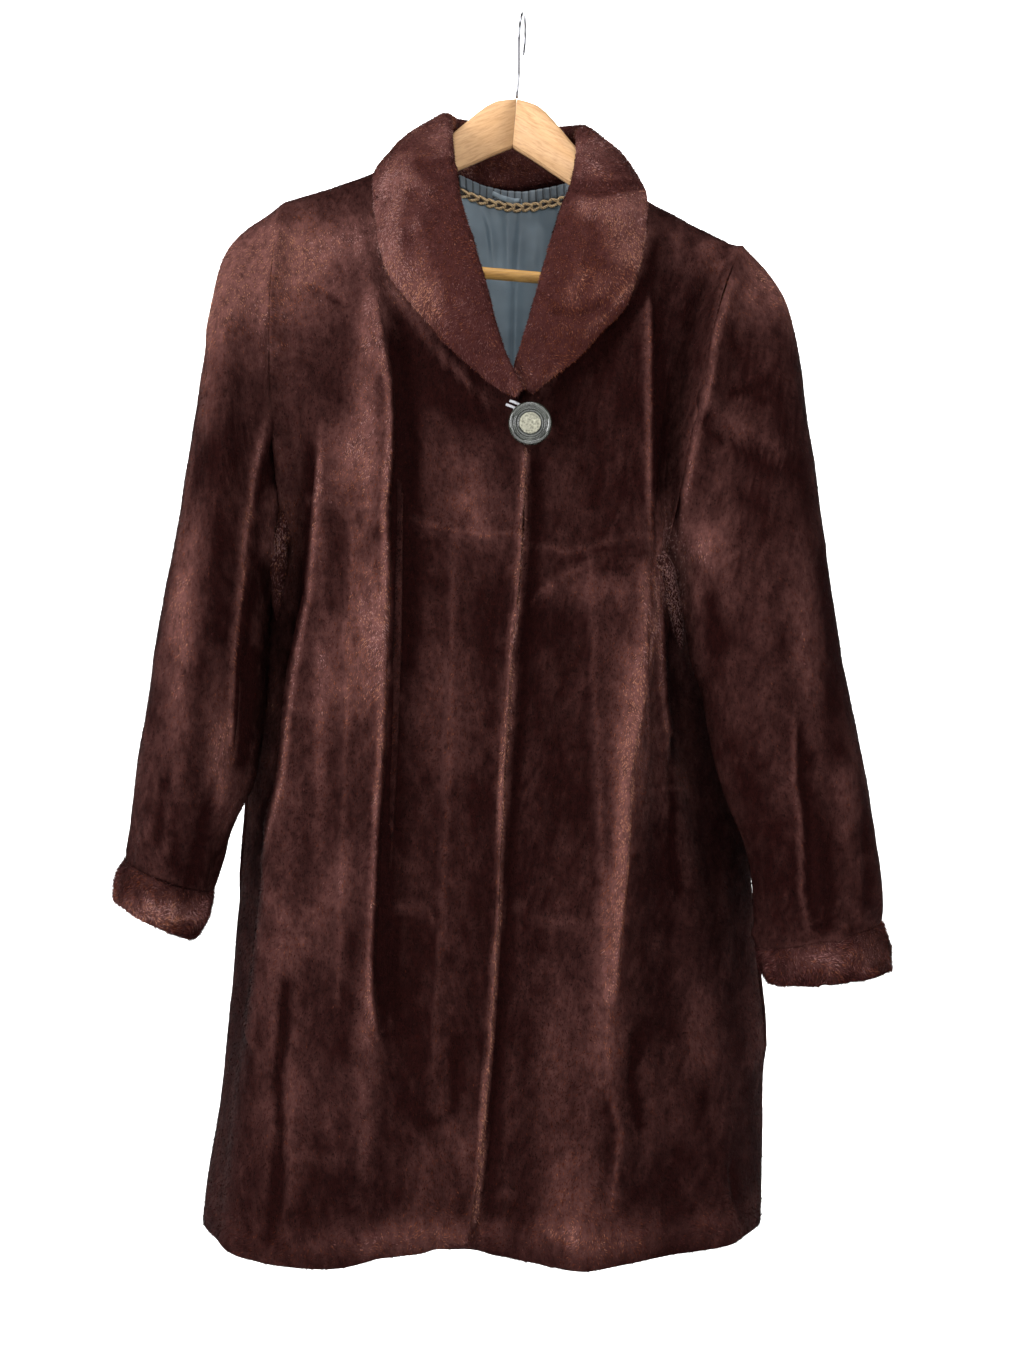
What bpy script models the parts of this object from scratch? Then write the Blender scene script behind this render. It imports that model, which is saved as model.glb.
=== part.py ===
"""A three-quarter fur coat hanging on a wooden hanger.

Lengths are written in millimetres and turned into metres where a mesh is made. +Z is up and the
front of the coat faces -Y. The origin is the inside top of the hook, where a rail carries it.
Right and left are the wearer's, so the right front, which laps on top, lies at -X.
"""

import math

import bmesh
import bpy
import numpy as np

MM = 0.001
FUR = 5.0  # skin and sheared pile together
SEAM = 0.3  # half the gap between two sewn pieces
LAP_CLEARANCE = 1.8  # between the two fronts where one covers the other

# The hanger: leans to the wearer's left, arms swept forward.
LEAN = math.radians(5.0)
SWEEP = 0.12
ARM_THICKNESS = 11.0
ARM_LENGTH = 194.0
NECK_REACH = 76.0  # along the hanger from its middle to the neck point of the shoulder seam
ARM_PROFILE = (
    # reach, top, bottom: heights below the hook's inside top
    (0, 72.5, 115),
    (18, 77, 121),
    (33, 89, 130),
    (51, 108, 144),
    (80, 134, 164),
    (117, 161, 190),
    (145, 174, 212),
    (157, 180, 222),
    (163, 183, 238),
    (180, 190, 243),
    (194, 197, 243),
)
BAR_RADIUS = 5.0
BAR_DROP = 230.5
BAR_END = 157.4
WIRE_RADIUS = 1.25
HOOK_RADIUS = 18.0
HOOK_TURN = math.radians(83.0)  # the hook's plane, turned from the front of the coat

# Armholes: top and bottom below the origin, half width front to back, and the seam's line.
ARMHOLES = {
    "right": {"top_reach": -187, "bottom": 462, "half_width": 52, "bottom_depth": 0},
    "left": {"top_reach": 203, "bottom": 480, "half_width": 54, "bottom_depth": -6},
}
# Side lines: the armhole's across as it goes down, then the side seam with its depth.
SIDE_RIGHT = (
    # drop, across, depth
    (171, -204, 0),
    (250, -212, 0),
    (330, -213, 0),
    (462, -208, 0),
    (486, -215, 18),
    (510, -226, 26),
    (540, -231, 30),
    (600, -238, 33),
    (650, -242, 35),
    (700, -246, 37),
    (739, -250, 39),
    (828, -259, 40),
    (900, -265, 40),
    (953, -270, 36),
    (1007, -280, 32),
    (1056, -285, 28),
)
SIDE_LEFT = (
    (209, 185, -6),
    (255, 166, -6),
    (328, 151, -6),
    (420, 131, -6),
    (480, 122, -6),
    (504, 129, 17),
    (522, 144, 28),
    (560, 155, 32),
    (600, 165, 34),
    (642, 175, 36),
    (677, 185, 38),
    (728, 201, 40),
    (824, 206, 42),
    (900, 213, 40),
    (1056, 210, 24),
)

# The fronts. Each line runs from the shoulder seam to the hem; its across and its depth are given
# at these drops below the origin, and `hem` is how low it ends.
DROPS = (290, 410, 600, 800, 1050)
FRONT_RIGHT = (
    # name, reach on the shoulder, across at the drops, depth at the drops, hem
    ("hollow", -180, (-199, -192, -206, -234, -262), (-58, -50, -12, -8, -34), 1052),
    ("outer fold", -168, (-184, -176, -196, -222, -244), (-60, -61, -60, -56, -64), 1055),
    ("swell", -148, (-153, -147, -157, -178, -196), (-60, -66, -70, -76, -88), 1058),
    ("ridge", -124, (-121, -112, -115, -127, -145), (-64, -76, -87, -93, -92), 1056),
    ("ridge foot", -111, (-106, -96, -99, -107, -119), (-59, -67, -76, -83, -85), 1052),
    ("middle", -100, (-80, -64, -64, -74, -88), (-62, -68, -76, -82, -84), 1048),
    ("near edge", -88, (-56, -32, -38, -48, -68), (-66, -73, -79, -83, -80), 1044),
)
FRONT_EDGE = (
    # drop, across, depth: the right front's free edge, from the neck point to the hem
    (117, -82, -10),
    (121, -79, -21),
    (127, -75, -28),
    (140, -69, -34),
    (160, -63, -41),
    (183, -58, -50),
    (211, -51, -59),
    (238, -44, -65),
    (264, -38, -70),
    (286, -32, -73),
    (309, -24, -75),
    (326, -16, -75),
    (345, -7, -75),
    (366, -2, -75),
    (422, -1, -76),
    (496, -5, -79),
    (555, -11, -81),
    (634, -16, -83),
    (806, -24, -83),
    (921, -32, -80),
    (1041, -47, -76),
)
FRONT_LEFT = (
    ("hollow", 192, (142, 120, 135, 174, 187), (-44, -40, 4, -6, -30), 1052),
    ("side fold", 176, (127, 114, 122, 148, 166), (-52, -56, -28, -34, -54), 1053),
    ("ridge foot", 152, (115, 109, 110, 112, 114), (-55, -58, -44, -58, -74), 1054),
    ("ridge", 138, (105, 102, 98, 85, 74), (-62, -70, -84, -88, -90), 1057),
    ("swell", 120, (84, 79, 68, 54, 48), (-64, -72, -84, -91, -97), 1059),
    ("valley", 104, (64, 53, 40, 26, 18), (-60, -66, -72, -79, -88), 1057),
    ("near edge", 90, (46, 28, 12, -2, -20), (-62, -67, -73, -78, -82), 1051),
)
UNDER_EDGE = (
    # drop, across, depth: the left front's edge, which ends up hidden under the right front
    (130, 62, -10),
    (134, 60, -21),
    (140, 57, -28),
    (150, 52, -33),
    (166, 46, -38),
    (187, 39, -46),
    (212, 31, -54),
    (233, 26, -58),
    (248, 22, -61),
    (266, 17, -63),
    (286, 9, -67),
    (305, 3, -68),
    (322, -6, -69),
    (345, -25, -67),
    (370, -46, -66),
    (410, -54, -66),
    (600, -68, -68),
    (800, -80, -72),
    (1046, -100, -74),
)
LAP_BLEND = 16.0  # how far beyond the free edge the lower front comes forward again

BACK = (
    ("side", -178, (-192, -186, -206, -232, -252), (42, 48, 54, 56, 52), 1054),
    ("fold", -128, (-134, -128, -142, -158, -174), (52, 67, 77, 82, 85), 1058),
    ("valley", -84, (-88, -84, -92, -102, -114), (54, 64, 68, 70, 70), 1053),
    ("swell", -46, (-50, -48, -54, -60, -64), (58, 73, 83, 88, 91), 1057),
    ("centre", -2, (-10, -14, -18, -24, -28), (58, 68, 75, 77, 76), 1054),
    ("swell", 42, (34, 22, 18, 14, 10), (58, 73, 83, 88, 91), 1058),
    ("valley", 84, (74, 54, 52, 52, 50), (54, 64, 69, 71, 71), 1054),
    ("fold", 128, (114, 84, 96, 110, 118), (52, 67, 78, 83, 85), 1058),
    ("side", 180, (138, 112, 134, 172, 182), (42, 46, 62, 68, 60), 1054),
)
BACK_NECK_DEPTH = 55.0
BACK_NECK_DROP = 134.0

# Sleeves: each row is one ring, from the armhole's seam to the cuff's seam.
SLEEVE_RIGHT = (
    # outer across, outer drop, inner across, inner drop, depth of the middle, half depth
    (-223, 180, -214, 471, -14, 55),
    (-243, 195, -216, 479, -17, 60),
    (-257, 220, -217, 490, -20, 65),
    (-266, 262, -218, 502, -22, 69),
    (-274, 310, -219, 517, -24, 72),
    (-283, 370, -220, 536, -26, 74),
    (-293, 440, -220, 560, -28, 75),
    (-304, 505, -221, 590, -30, 76),
    (-315, 575, -225, 632, -31, 75),
    (-326, 645, -232, 668, -32, 71),
    (-331, 686, -246, 697, -32, 64),
    (-334, 712, -256, 727, -32, 54),
    (-337, 729, -264, 757, -32, 44),
)
SLEEVE_LEFT = (
    (203, 220, 129, 491, -12, 56),
    (219, 242, 132, 504, -17, 59),
    (230, 280, 135, 520, -24, 62),
    (237, 330, 138, 539, -31, 63),
    (245, 395, 141, 562, -37, 62),
    (254, 460, 148, 588, -42, 61),
    (263, 525, 154, 618, -45, 59),
    (272, 585, 160, 647, -46, 58),
    (284, 645, 171, 682, -46, 58),
    (293, 700, 186, 722, -45, 57),
    (299, 742, 192, 762, -44, 52),
    (301, 768, 195, 790, -42, 46),
    (301, 781, 197, 804, -41, 44),
)
SLEEVE_RINGS = 20
SLEEVE_SIDES = 20
# Soft folds along the sleeves: angle from the outer edge towards the front, where it runs, depth.
SLEEVE_FOLDS = {
    "right": (
        # angle, width, start, end (share of the sleeve), depth
        (62, 16, 0.30, 0.95, 4),
        (127, 20, 0.08, 0.80, 10),
        (238, 16, 0.25, 0.95, 6),
        (290, 18, 0.20, 0.90, 5),
    ),
    "left": (
        (70, 15, 0.55, 1.00, 7),
        (112, 16, 0.05, 0.45, 6),
        (200, 16, 0.30, 0.95, 6),
        (285, 18, 0.20, 0.90, 6),
    ),
}
GATHERS = 9
GATHER_DEPTH = 3.0
CUFFS = {
    "right": {
        "top": (-337.2, 729.5, -264.2, 757.5, -32, 44),
        "bottom": (-346, 762, -277, 795, -32, 46),
    },
    "left": {
        "top": (301.2, 781.5, 197.2, 804.5, -41, 44),
        "bottom": (309, 822, 206, 832, -41, 46),
    },
}
CUFF_SWELL = 3.5

# The shawl collar, from the tip on the right front, round the neck, to the tip on the left front.
COLLAR = (
    # roll: across, depth, drop; edge: across, depth, drop; roll radius; stand; foot's reach
    (-1, -86, 338, -7, -84, 345, 2.8, 0, -76),
    (-8, -87, 325, -21, -83, 339, 3.2, 0, -76),
    (-15, -86, 309, -39, -80, 325, 4.0, 0, -76),
    (-23, -84, 286, -60, -78, 305, 7.0, 0, -76),
    (-29, -81, 264, -80, -75, 282, 8.5, 0, -76),
    (-35, -76, 238, -100, -71, 260, 8.5, 0, -76),
    (-42, -70, 211, -115, -67, 237, 8.5, 0, -76),
    (-50, -61, 183, -123, -60, 208, 8.5, 0, -76),
    (-54, -52, 158, -126, -50, 177, 8.5, 0, -76),
    (-58, -42, 134, -127, -39, 152, 8.0, 0, -76),
    (-60, -30, 114, -124, -25, 137, 7.0, 0, -76),
    (-61, -16, 98, -122, -12, 132, 7.0, 0.3, -76),
    (-62, 0, 89, -121, 0, 131, 8.0, 1, -75),
    (-60, 18, 83, -119, 26, 138, 9.0, 1, -70),
    (-50, 38, 79, -106, 50, 150, 9.0, 1, -56),
    (-32, 53, 77, -72, 68, 162, 9.0, 1, -34),
    (-8, 60, 77, -9, 76, 167, 9.0, 1, 0),
    (16, 53, 80, 52, 68, 165, 9.0, 1, 30),
    (35, 37, 85, 84, 50, 156, 9.0, 1, 55),
    (44, 18, 92, 97, 25, 146, 9.0, 1, 70),
    (45, 0, 99, 99, 1, 143, 8.0, 1, 75),
    (44.5, -16, 107, 100, -13, 146, 7.0, 0.3, 76),
    (43, -30, 123, 101, -25, 151, 7.0, 0, 76),
    (41, -40, 143, 103, -38, 159, 8.0, 0, 76),
    (36, -48, 166, 104, -50, 170, 8.5, 0, 76),
    (29, -57, 188, 103, -58, 186, 8.5, 0, 76),
    (21, -64, 212, 100, -64, 209, 8.5, 0, 76),
    (14, -70, 240, 93, -70, 240, 8.5, 0, 76),
    (7, -73, 266, 80, -74, 274, 7.5, 0, 76),
    (1, -75, 286, 63, -76, 291, 5.0, 0, 76),
    (-5, -77, 305, 44, -77, 312, 3.6, 0, 76),
    (-9, -78, 318, 25, -78, 326, 3.0, 0, 76),
    (-10, -77, 332, 8, -77, 340, 2.8, 0, 76),
)
COLLAR_ROWS = 47
COLLAR_CROWN = 7.0
COLLAR_WALL = 4.4
STAND_GAP = 1.0  # between the stand's foot and the neckline
SHORT_FOOT = 6.0  # how far the collar turns back in front of the fronts
NECK_CENTRE = (-10, 10, 0)

# Inside the back of the neck.
LINING_WALL = 1.5
LINING_HALF_WIDTH = 66.0
LINING_TOP = 146.5
LINING_BOTTOM = 400.0
BAND_HEIGHT = 10.0
BAND_PLEATS = 16
BAND_HALF_WIDTH = 50.0
BRAID_HALF_WIDTH = 50.0
BRAID_DROP = 151.5
BRAID_LINKS = 12
BRAID_HEIGHT = 7.0

BUTTON_ACROSS = 4.5
BUTTON_DROP = 367.0
BUTTON_RADIUS = 18.0
BUTTON_PROUD = 13.0  # from the lower front to the button's back
SHANK_RADIUS = 2.6
BUTTON_FACE = (
    # radius, height above the button's back
    (9.0, 7.2),
    (9.8, 5.6),
    (11.2, 5.4),
    (12.2, 6.6),
    (13.4, 6.8),
    (14.4, 6.0),
    (16.2, 6.6),
    (17.5, 5.4),
    (18.0, 3.6),
    (17.2, 1.2),
    (14.0, 0.0),
)
LOOP_RADIUS = 1.2


def through(knots, values, at):
    """A smooth curve through the values at rising knots, read at `at`, with no overshoot."""
    knots, values = np.asarray(knots, float), np.asarray(values, float)
    at = np.clip(at, knots[0], knots[-1])
    step = np.diff(knots)
    rise = np.diff(values) / step
    before, after = rise[:-1], rise[1:]
    same_way = before * after > 0
    total = np.where(same_way, before + after, 1.0)
    slope = np.concatenate(
        [rise[:1], np.where(same_way, 2 * before * after / total, 0.0), rise[-1:]]
    )
    k = np.clip(np.searchsorted(knots, at, side="right") - 1, 0, len(step) - 1)
    t = (at - knots[k]) / step[k]
    return (
        values[k] * (1 + 2 * t) * (1 - t) ** 2
        + slope[k] * step[k] * t * (1 - t) ** 2
        + values[k + 1] * t * t * (3 - 2 * t)
        - slope[k + 1] * step[k] * t * t * (1 - t)
    )


def spline(points, parts, first=None, last=None):
    """Points along a smooth curve through `points`, with parts[k] steps in stretch k."""
    points = np.asarray(points, float)
    first = 2 * points[0] - points[1] if first is None else np.asarray(first, float)
    last = 2 * points[-1] - points[-2] if last is None else np.asarray(last, float)
    cage = np.vstack([first, points, last])
    found = []
    for k, count in enumerate(parts):
        a, b, c, d = cage[k : k + 4]
        for t in np.arange(count) / count:
            found.append(
                b
                + 0.5 * t * (c - a)
                + 0.5 * t * t * (2 * a - 5 * b + 4 * c - d)
                + 0.5 * t**3 * (3 * b - a - 3 * c + d)
            )
    return np.array(found + [points[-1]])


def unit(vectors):
    return vectors / np.linalg.norm(vectors, axis=-1, keepdims=True)


def facing(grid, around=False, passes=2):
    """Normals of a grid of points, softened by averaging each with its neighbours."""
    down = np.gradient(grid, axis=0)
    if around:
        across = (np.roll(grid, -1, axis=1) - np.roll(grid, 1, axis=1)) / 2
    else:
        across = np.gradient(grid, axis=1)
    normals = unit(np.cross(down, across))
    for _ in range(passes):
        if around:
            sides = np.roll(normals, 1, axis=1) + np.roll(normals, -1, axis=1)
        else:
            wide = np.concatenate([normals[:, :1], normals, normals[:, -1:]], axis=1)
            sides = wide[:, :-2] + wide[:, 2:]
        normals = unit(2 * normals + sides)
    return normals


def turned_out(grid, normals, middle):
    """The normals, turned so that most of them point away from `middle`."""
    outward = ((grid - np.asarray(middle, float)) * normals).sum(axis=-1)
    return normals if outward.sum() > 0 else -normals


def finish(name, data, colour, roughness, metallic=0.0, smooth=True):
    """Put a mesh or a curve in the coat's collection, with its material."""
    material = bpy.data.materials.new(name + "_finish")
    material.use_nodes = True
    shader = material.node_tree.nodes["Principled BSDF"]
    shader.inputs["Base Color"].default_value = (*colour, 1.0)
    shader.inputs["Roughness"].default_value = roughness
    shader.inputs["Metallic"].default_value = metallic
    data.materials.append(material)
    piece = bpy.data.objects.new(name, data)
    coat_parts.objects.link(piece)
    if smooth and piece.type == "MESH":
        data.shade_smooth()
        data.set_sharp_from_angle(angle=math.radians(50))
    return piece


def walled(name, outer, inner, around, colour, roughness):
    """A closed wall between two grids of points; `around` closes each row on itself."""
    rows, columns = outer.shape[:2]
    build = bmesh.new()
    sides = []
    for grid in (outer, inner):
        sides.append([[build.verts.new(p * MM) for p in row] for row in grid])
    span = columns if around else columns - 1
    for i in range(rows - 1):
        for j in range(span):
            k = (j + 1) % columns
            for side, turn in ((sides[0], 1), (sides[1], -1)):
                loop = (side[i][j], side[i][k], side[i + 1][k], side[i + 1][j])
                build.faces.new(loop[::turn])
    for i in (0, rows - 1):
        for j in range(span):
            k = (j + 1) % columns
            build.faces.new((sides[0][i][j], sides[0][i][k], sides[1][i][k], sides[1][i][j]))
    if not around:
        for j in (0, columns - 1):
            for i in range(rows - 1):
                build.faces.new(
                    (sides[0][i][j], sides[0][i + 1][j], sides[1][i + 1][j], sides[1][i][j])
                )
    bmesh.ops.recalc_face_normals(build, faces=build.faces)
    mesh = bpy.data.meshes.new(name)
    build.to_mesh(mesh)
    build.free()
    return finish(name, mesh, colour, roughness)


def hung(reach, drop):
    """Across and drop of a point of the leaning hanger."""
    across = reach * math.cos(LEAN) - drop * math.sin(LEAN)
    return across, drop * math.cos(LEAN) + reach * math.sin(LEAN)


def arm_top(reach):
    rows = np.array(ARM_PROFILE, float)
    return through(rows[:, 0], rows[:, 1], abs(reach))


def shoulder(reach):
    """A point of the shoulder seam: the arm's top edge, a seat's gap and the fur above it."""
    slope = abs(arm_top(abs(reach) + 1) - arm_top(abs(reach) - 1)) / 2
    lift = (FUR + 2.0) * math.hypot(1, slope)
    across, drop = hung(reach, arm_top(reach) - lift)
    return np.array([across, -SWEEP * abs(reach), -drop])


def back_neck(reach):
    """A point of the back neckline, between the neck points of the two shoulder seams."""
    share = reach / NECK_REACH
    right, left = shoulder(-NECK_REACH), shoulder(NECK_REACH)
    seam = right + (left - right) * (1 + share) / 2
    bow = math.sqrt(max(0.0, 1 - share * share))
    depth = seam[1] + (BACK_NECK_DEPTH - seam[1]) * bow
    height = seam[2] + (-BACK_NECK_DROP - seam[2]) * bow
    return np.array([seam[0], depth, height])


def round_over(share):
    """0 at 0 and 1 from 1 on, rising like a quarter of a circle."""
    share = np.clip(share, 0, 1)
    return np.sqrt(1 - (1 - share) ** 2)


def table_at(table, drop):
    rows = np.array(table, float)
    return [through(rows[:, 0], rows[:, k], drop) for k in range(1, rows.shape[1])]


ARMHOLE_ROWS = 10
BODY_ROWS = 17
ROW_ANGLES = np.linspace(0, math.pi, ARMHOLE_ROWS + 1)
LOWER_SHARES = np.linspace(0, 1, BODY_ROWS + 1)[1:]
SIDES = {"right": SIDE_RIGHT, "left": SIDE_LEFT}


def armhole_point(side, angle):
    """A point of the armhole's seam: 0 at the shoulder, a quarter turn at the front."""
    hole = ARMHOLES[side]
    top = shoulder(hole["top_reach"])
    middle = (hole["bottom"] - top[2]) / 2
    half = (hole["bottom"] + top[2]) / 2
    drop = middle - half * math.cos(angle)
    lowness = (1 - math.cos(angle)) / 2
    depth = top[1] + (hole["bottom_depth"] - top[1]) * lowness
    depth -= hole["half_width"] * math.sin(angle)
    across = float(table_at(SIDES[side], drop)[0])
    if angle % (2 * math.pi) == 0:
        across = top[0]
    return np.array([across, depth, -drop])


def armhole_inward(side, angle):
    """Unit vector in the armhole's plane, from its seam towards its middle."""
    low, high = armhole_point(side, math.pi), armhole_point(side, 0.0)
    offset = (low + high) / 2 - armhole_point(side, angle)
    half_height = abs(high[2] - low[2]) / 2
    offset[1] /= ARMHOLES[side]["half_width"] ** 2
    offset[2] /= half_height**2
    offset[0] = 0
    return unit(offset)


def side_point(side, share, front):
    """Row points of a body panel's side: down the armhole, then down the side seam."""
    hole = ARMHOLES[side]
    if share <= 1:
        angle = share * math.pi
        return armhole_point(side, angle if front else -angle)
    end = SIDES[side][-1][0]
    drop = hole["bottom"] + (end - hole["bottom"]) * (share - 1)
    across, depth = table_at(SIDES[side], drop)
    return np.array([across, depth, -drop])


ROW_SHARES = np.concatenate([ROW_ANGLES / math.pi, 1 + LOWER_SHARES])


def line_point(line, share, bottom, top):
    """A point of one of a panel's lines at a row: `top` is its end on the shoulder or neck."""
    _, _, across, depth, hem = line
    if share <= 1:
        lowness = (1 - math.cos(share * math.pi)) / 2
        drop = -top[2] + (bottom + top[2]) * lowness
    else:
        drop = bottom + (hem - bottom) * (share - 1)
    knots = (-top[2],) + DROPS
    start_depth = top[1] + math.copysign(19, depth[0]) if top[1] < 0 else top[1] + 3
    x = through(knots, (top[0],) + across, drop)
    y = through(knots, (start_depth,) + depth, drop)
    y = top[1] + (y - top[1]) * round_over((drop + top[2]) / 20)
    return np.array([x, y, -drop])


def edge_point(table, share, bottom):
    """A point of a front's free edge at a row."""
    top, hem = table[0][0], table[-1][0]
    if share <= 1:
        drop = top + (bottom - top) * (1 - math.cos(share * math.pi)) / 2
    else:
        drop = bottom + (hem - bottom) * (share - 1)
    across, depth = table_at(table, drop)
    return np.array([across, depth, -drop])


def front_section(drop):
    """The right front's section at one height, from the outer fold to its free edge."""
    points = []
    for _, reach, across, depth, _ in FRONT_RIGHT:
        top = shoulder(reach)
        knots = (-top[2],) + DROPS
        points.append(
            (
                float(through(knots, (top[0],) + across, drop)),
                float(through(knots, (top[1] - 15,) + depth, drop)),
            )
        )
    across, depth = table_at(FRONT_EDGE, drop)
    points.append((float(across), float(depth)))
    return spline(points, [6] * (len(points) - 1))


def behind_lap(point):
    """Where the right front covers a point of the left front, moves it back behind the wall."""
    section = front_section(-point[2])
    free_edge = section[-1]
    covering = np.interp(min(point[0], free_edge[0]), section[:, 0], section[:, 1])
    hidden = covering + FUR + LAP_CLEARANCE
    beyond = np.clip((point[0] - free_edge[0] - 5) / LAP_BLEND, 0, 1)
    ease = beyond * beyond * (3 - 2 * beyond)
    moved = point.copy()
    moved[1] = max(point[1], hidden) * (1 - ease) + point[1] * ease
    return moved


def lap_point(free, near):
    """A point of the lower front level with the upper front's edge, or part way to its own."""
    part_way = free + (near - free) * 0.4
    level = float(table_at(FRONT_EDGE, -part_way[2])[0]) + 4
    share = np.clip((max(part_way[0], level) - free[0]) / (near[0] - free[0]), 0.4, 0.85)
    return free + (near - free) * share


def front_rows(side, lines, edge, parts, lapped):
    """The outer points of a front panel, row by row, from its side to its free edge."""
    bottom = ARMHOLES[side]["bottom"]
    back_line = BACK[0] if side == "right" else BACK[-1]
    rows = []
    for share in ROW_SHARES:
        points = [side_point(side, share, True)]
        for line in lines:
            points.append(line_point(line, share, bottom, shoulder(line[1])))
        free = edge_point(edge, share, bottom)
        if lapped:
            points.append(lap_point(free, points[-1]))
        points.append(free)
        beyond = None
        if share > 1:
            beyond = line_point(back_line, share, bottom, back_top(back_line[1]))
        row = spline(points, parts, first=beyond)
        if share == 0:
            reaches = [line[1] for line in lines]
            end = math.copysign(NECK_REACH + 1, reaches[0])
            if lapped:
                reaches.append((reaches[-1] + end) / 2)
            row = top_row([ARMHOLES[side]["top_reach"]] + reaches + [end], parts)
        if lapped and share > 0:
            row = np.array([behind_lap(point) for point in row])
            row[0] = points[0]
        rows.append(row)
    return np.array(rows)


def back_top(reach):
    return back_neck(reach) if abs(reach) < NECK_REACH else shoulder(reach)


def top_row(reaches, parts):
    """A panel's first row: on the shoulder seam, and on the neckline between the two seams."""
    spread = []
    for k, count in enumerate(parts):
        spread += [reaches[k] + (reaches[k + 1] - reaches[k]) * t / count for t in range(count)]
    spread.append(reaches[-1])
    return np.array([back_top(reach) for reach in spread])


def back_rows(parts):
    """The outer points of the back, row by row, from the right side to the left side."""
    low = {side: ARMHOLES[side]["bottom"] for side in ARMHOLES}
    rows = []
    for share in ROW_SHARES:
        points = [side_point("right", share, False)]
        for line in BACK:
            lean = (line[2][1] + 206) / (122 + 206)
            bottom = low["right"] + (low["left"] - low["right"]) * lean
            points.append(line_point(line, share, bottom, back_top(line[1])))
        points.append(side_point("left", share, False))
        first = last = None
        if share > 1:
            first = line_point(
                FRONT_RIGHT[0], share, low["right"], shoulder(FRONT_RIGHT[0][1])
            )
            last = line_point(FRONT_LEFT[0], share, low["left"], shoulder(FRONT_LEFT[0][1]))
        row = spline(points, parts, first=first, last=last)
        if share == 0:
            ends = [ARMHOLES[side]["top_reach"] for side in ("right", "left")]
            row = top_row(ends[:1] + [line[1] for line in BACK] + ends[1:], parts)
        rows.append(row)
    return np.array(rows)


# ---------------------------------------------------------------- the scene
for old in list(bpy.data.objects):
    bpy.data.objects.remove(old, do_unlink=True)
coat_parts = bpy.data.collections.new("fur_coat_on_hanger")
bpy.context.scene.collection.children.link(coat_parts)

FUR_COLOUR = (0.075, 0.022, 0.019)
SATIN_COLOUR = (0.16, 0.21, 0.25)
WOOD_COLOUR = (0.75, 0.48, 0.26)

# ---------------------------------------------------------------- the body
RIGHT_PARTS = (2, 2, 3, 3, 2, 2, 2, 2)
LEFT_PARTS = (2, 2, 2, 2, 3, 2, 3, 2, 3)
BACK_PARTS = (2, 3, 2, 2, 2, 2, 2, 2, 3, 2)
panels = {
    "front_right": front_rows("right", FRONT_RIGHT, FRONT_EDGE, RIGHT_PARTS, False),
    "front_left": front_rows("left", FRONT_LEFT, UNDER_EDGE, LEFT_PARTS, True),
    "back": back_rows(BACK_PARTS),
}
MIDDLE = (-20, 0, -600)
outward = {}
for name, grid in panels.items():
    outward[name] = turned_out(grid, facing(grid), MIDDLE)

# Pieces that are sewn together share the normals along their seam, so their walls meet squarely.
seat_rows = len(ROW_ANGLES)
for side, name, front_column, back_column in (
    ("right", "front_right", 0, 0),
    ("left", "front_left", 0, -1),
):
    front, back = outward[name], outward["back"]
    seam = unit(front[:, front_column] + back[:, back_column])
    for row, angle in enumerate(ROW_ANGLES):
        front[row, front_column] = -armhole_inward(side, angle)
        back[row, back_column] = -armhole_inward(side, -angle)
    front[seat_rows:, front_column] = seam[seat_rows:]
    back[seat_rows:, back_column] = seam[seat_rows:]
for name in ("front_right", "front_left", "back"):
    row = panels[name][0]
    along = unit(np.gradient(row, axis=0))
    on_shoulder = row[:, 1] < 0
    up = unit(np.array([0, 0, 1]) - along * along[:, 2:3])
    outward[name][0, on_shoulder] = up[on_shoulder]

# The seams' gaps: fronts and back part along Y, body and sleeves along X.
for name, grid in panels.items():
    shift = np.zeros_like(grid)
    if name == "back":
        shift[0, grid[0, :, 1] < 0, 1] = SEAM
        shift[seat_rows - 1 :, (0, -1), 1] = 2 * SEAM
        shift[:seat_rows, 0, 0] = SEAM
        shift[:seat_rows, -1, 0] = -SEAM
    else:
        inboard = SEAM if name == "front_right" else -SEAM
        shift[0, :, 1] = -SEAM
        shift[seat_rows - 1 :, 0, 1] = -SEAM
        shift[:seat_rows, 0, 0] = inboard
        shift[seat_rows - 1, 0, 0] = 3 * inboard
    grid += shift
    walled(name, grid, grid - FUR * outward[name], False, FUR_COLOUR, 0.8)


# ---------------------------------------------------------------- the sleeves
def ring(row, angles, swell=0.0):
    """An oval ring through its outer and its inner point, with the depth given."""
    outer_x, outer_drop, inner_x, inner_drop, depth, half_depth = row
    middle = np.array([(outer_x + inner_x) / 2, depth, -(outer_drop + inner_drop) / 2])
    reach = np.array([(outer_x - inner_x) / 2, 0, -(outer_drop - inner_drop) / 2])
    ahead = np.array([0, -half_depth, 0])
    longer = 1 + swell / np.linalg.norm(reach)
    wider = 1 + swell / half_depth
    return (
        middle
        + np.outer(np.cos(angles), reach) * longer
        + np.outer(np.sin(angles), ahead) * wider
    )


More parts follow.
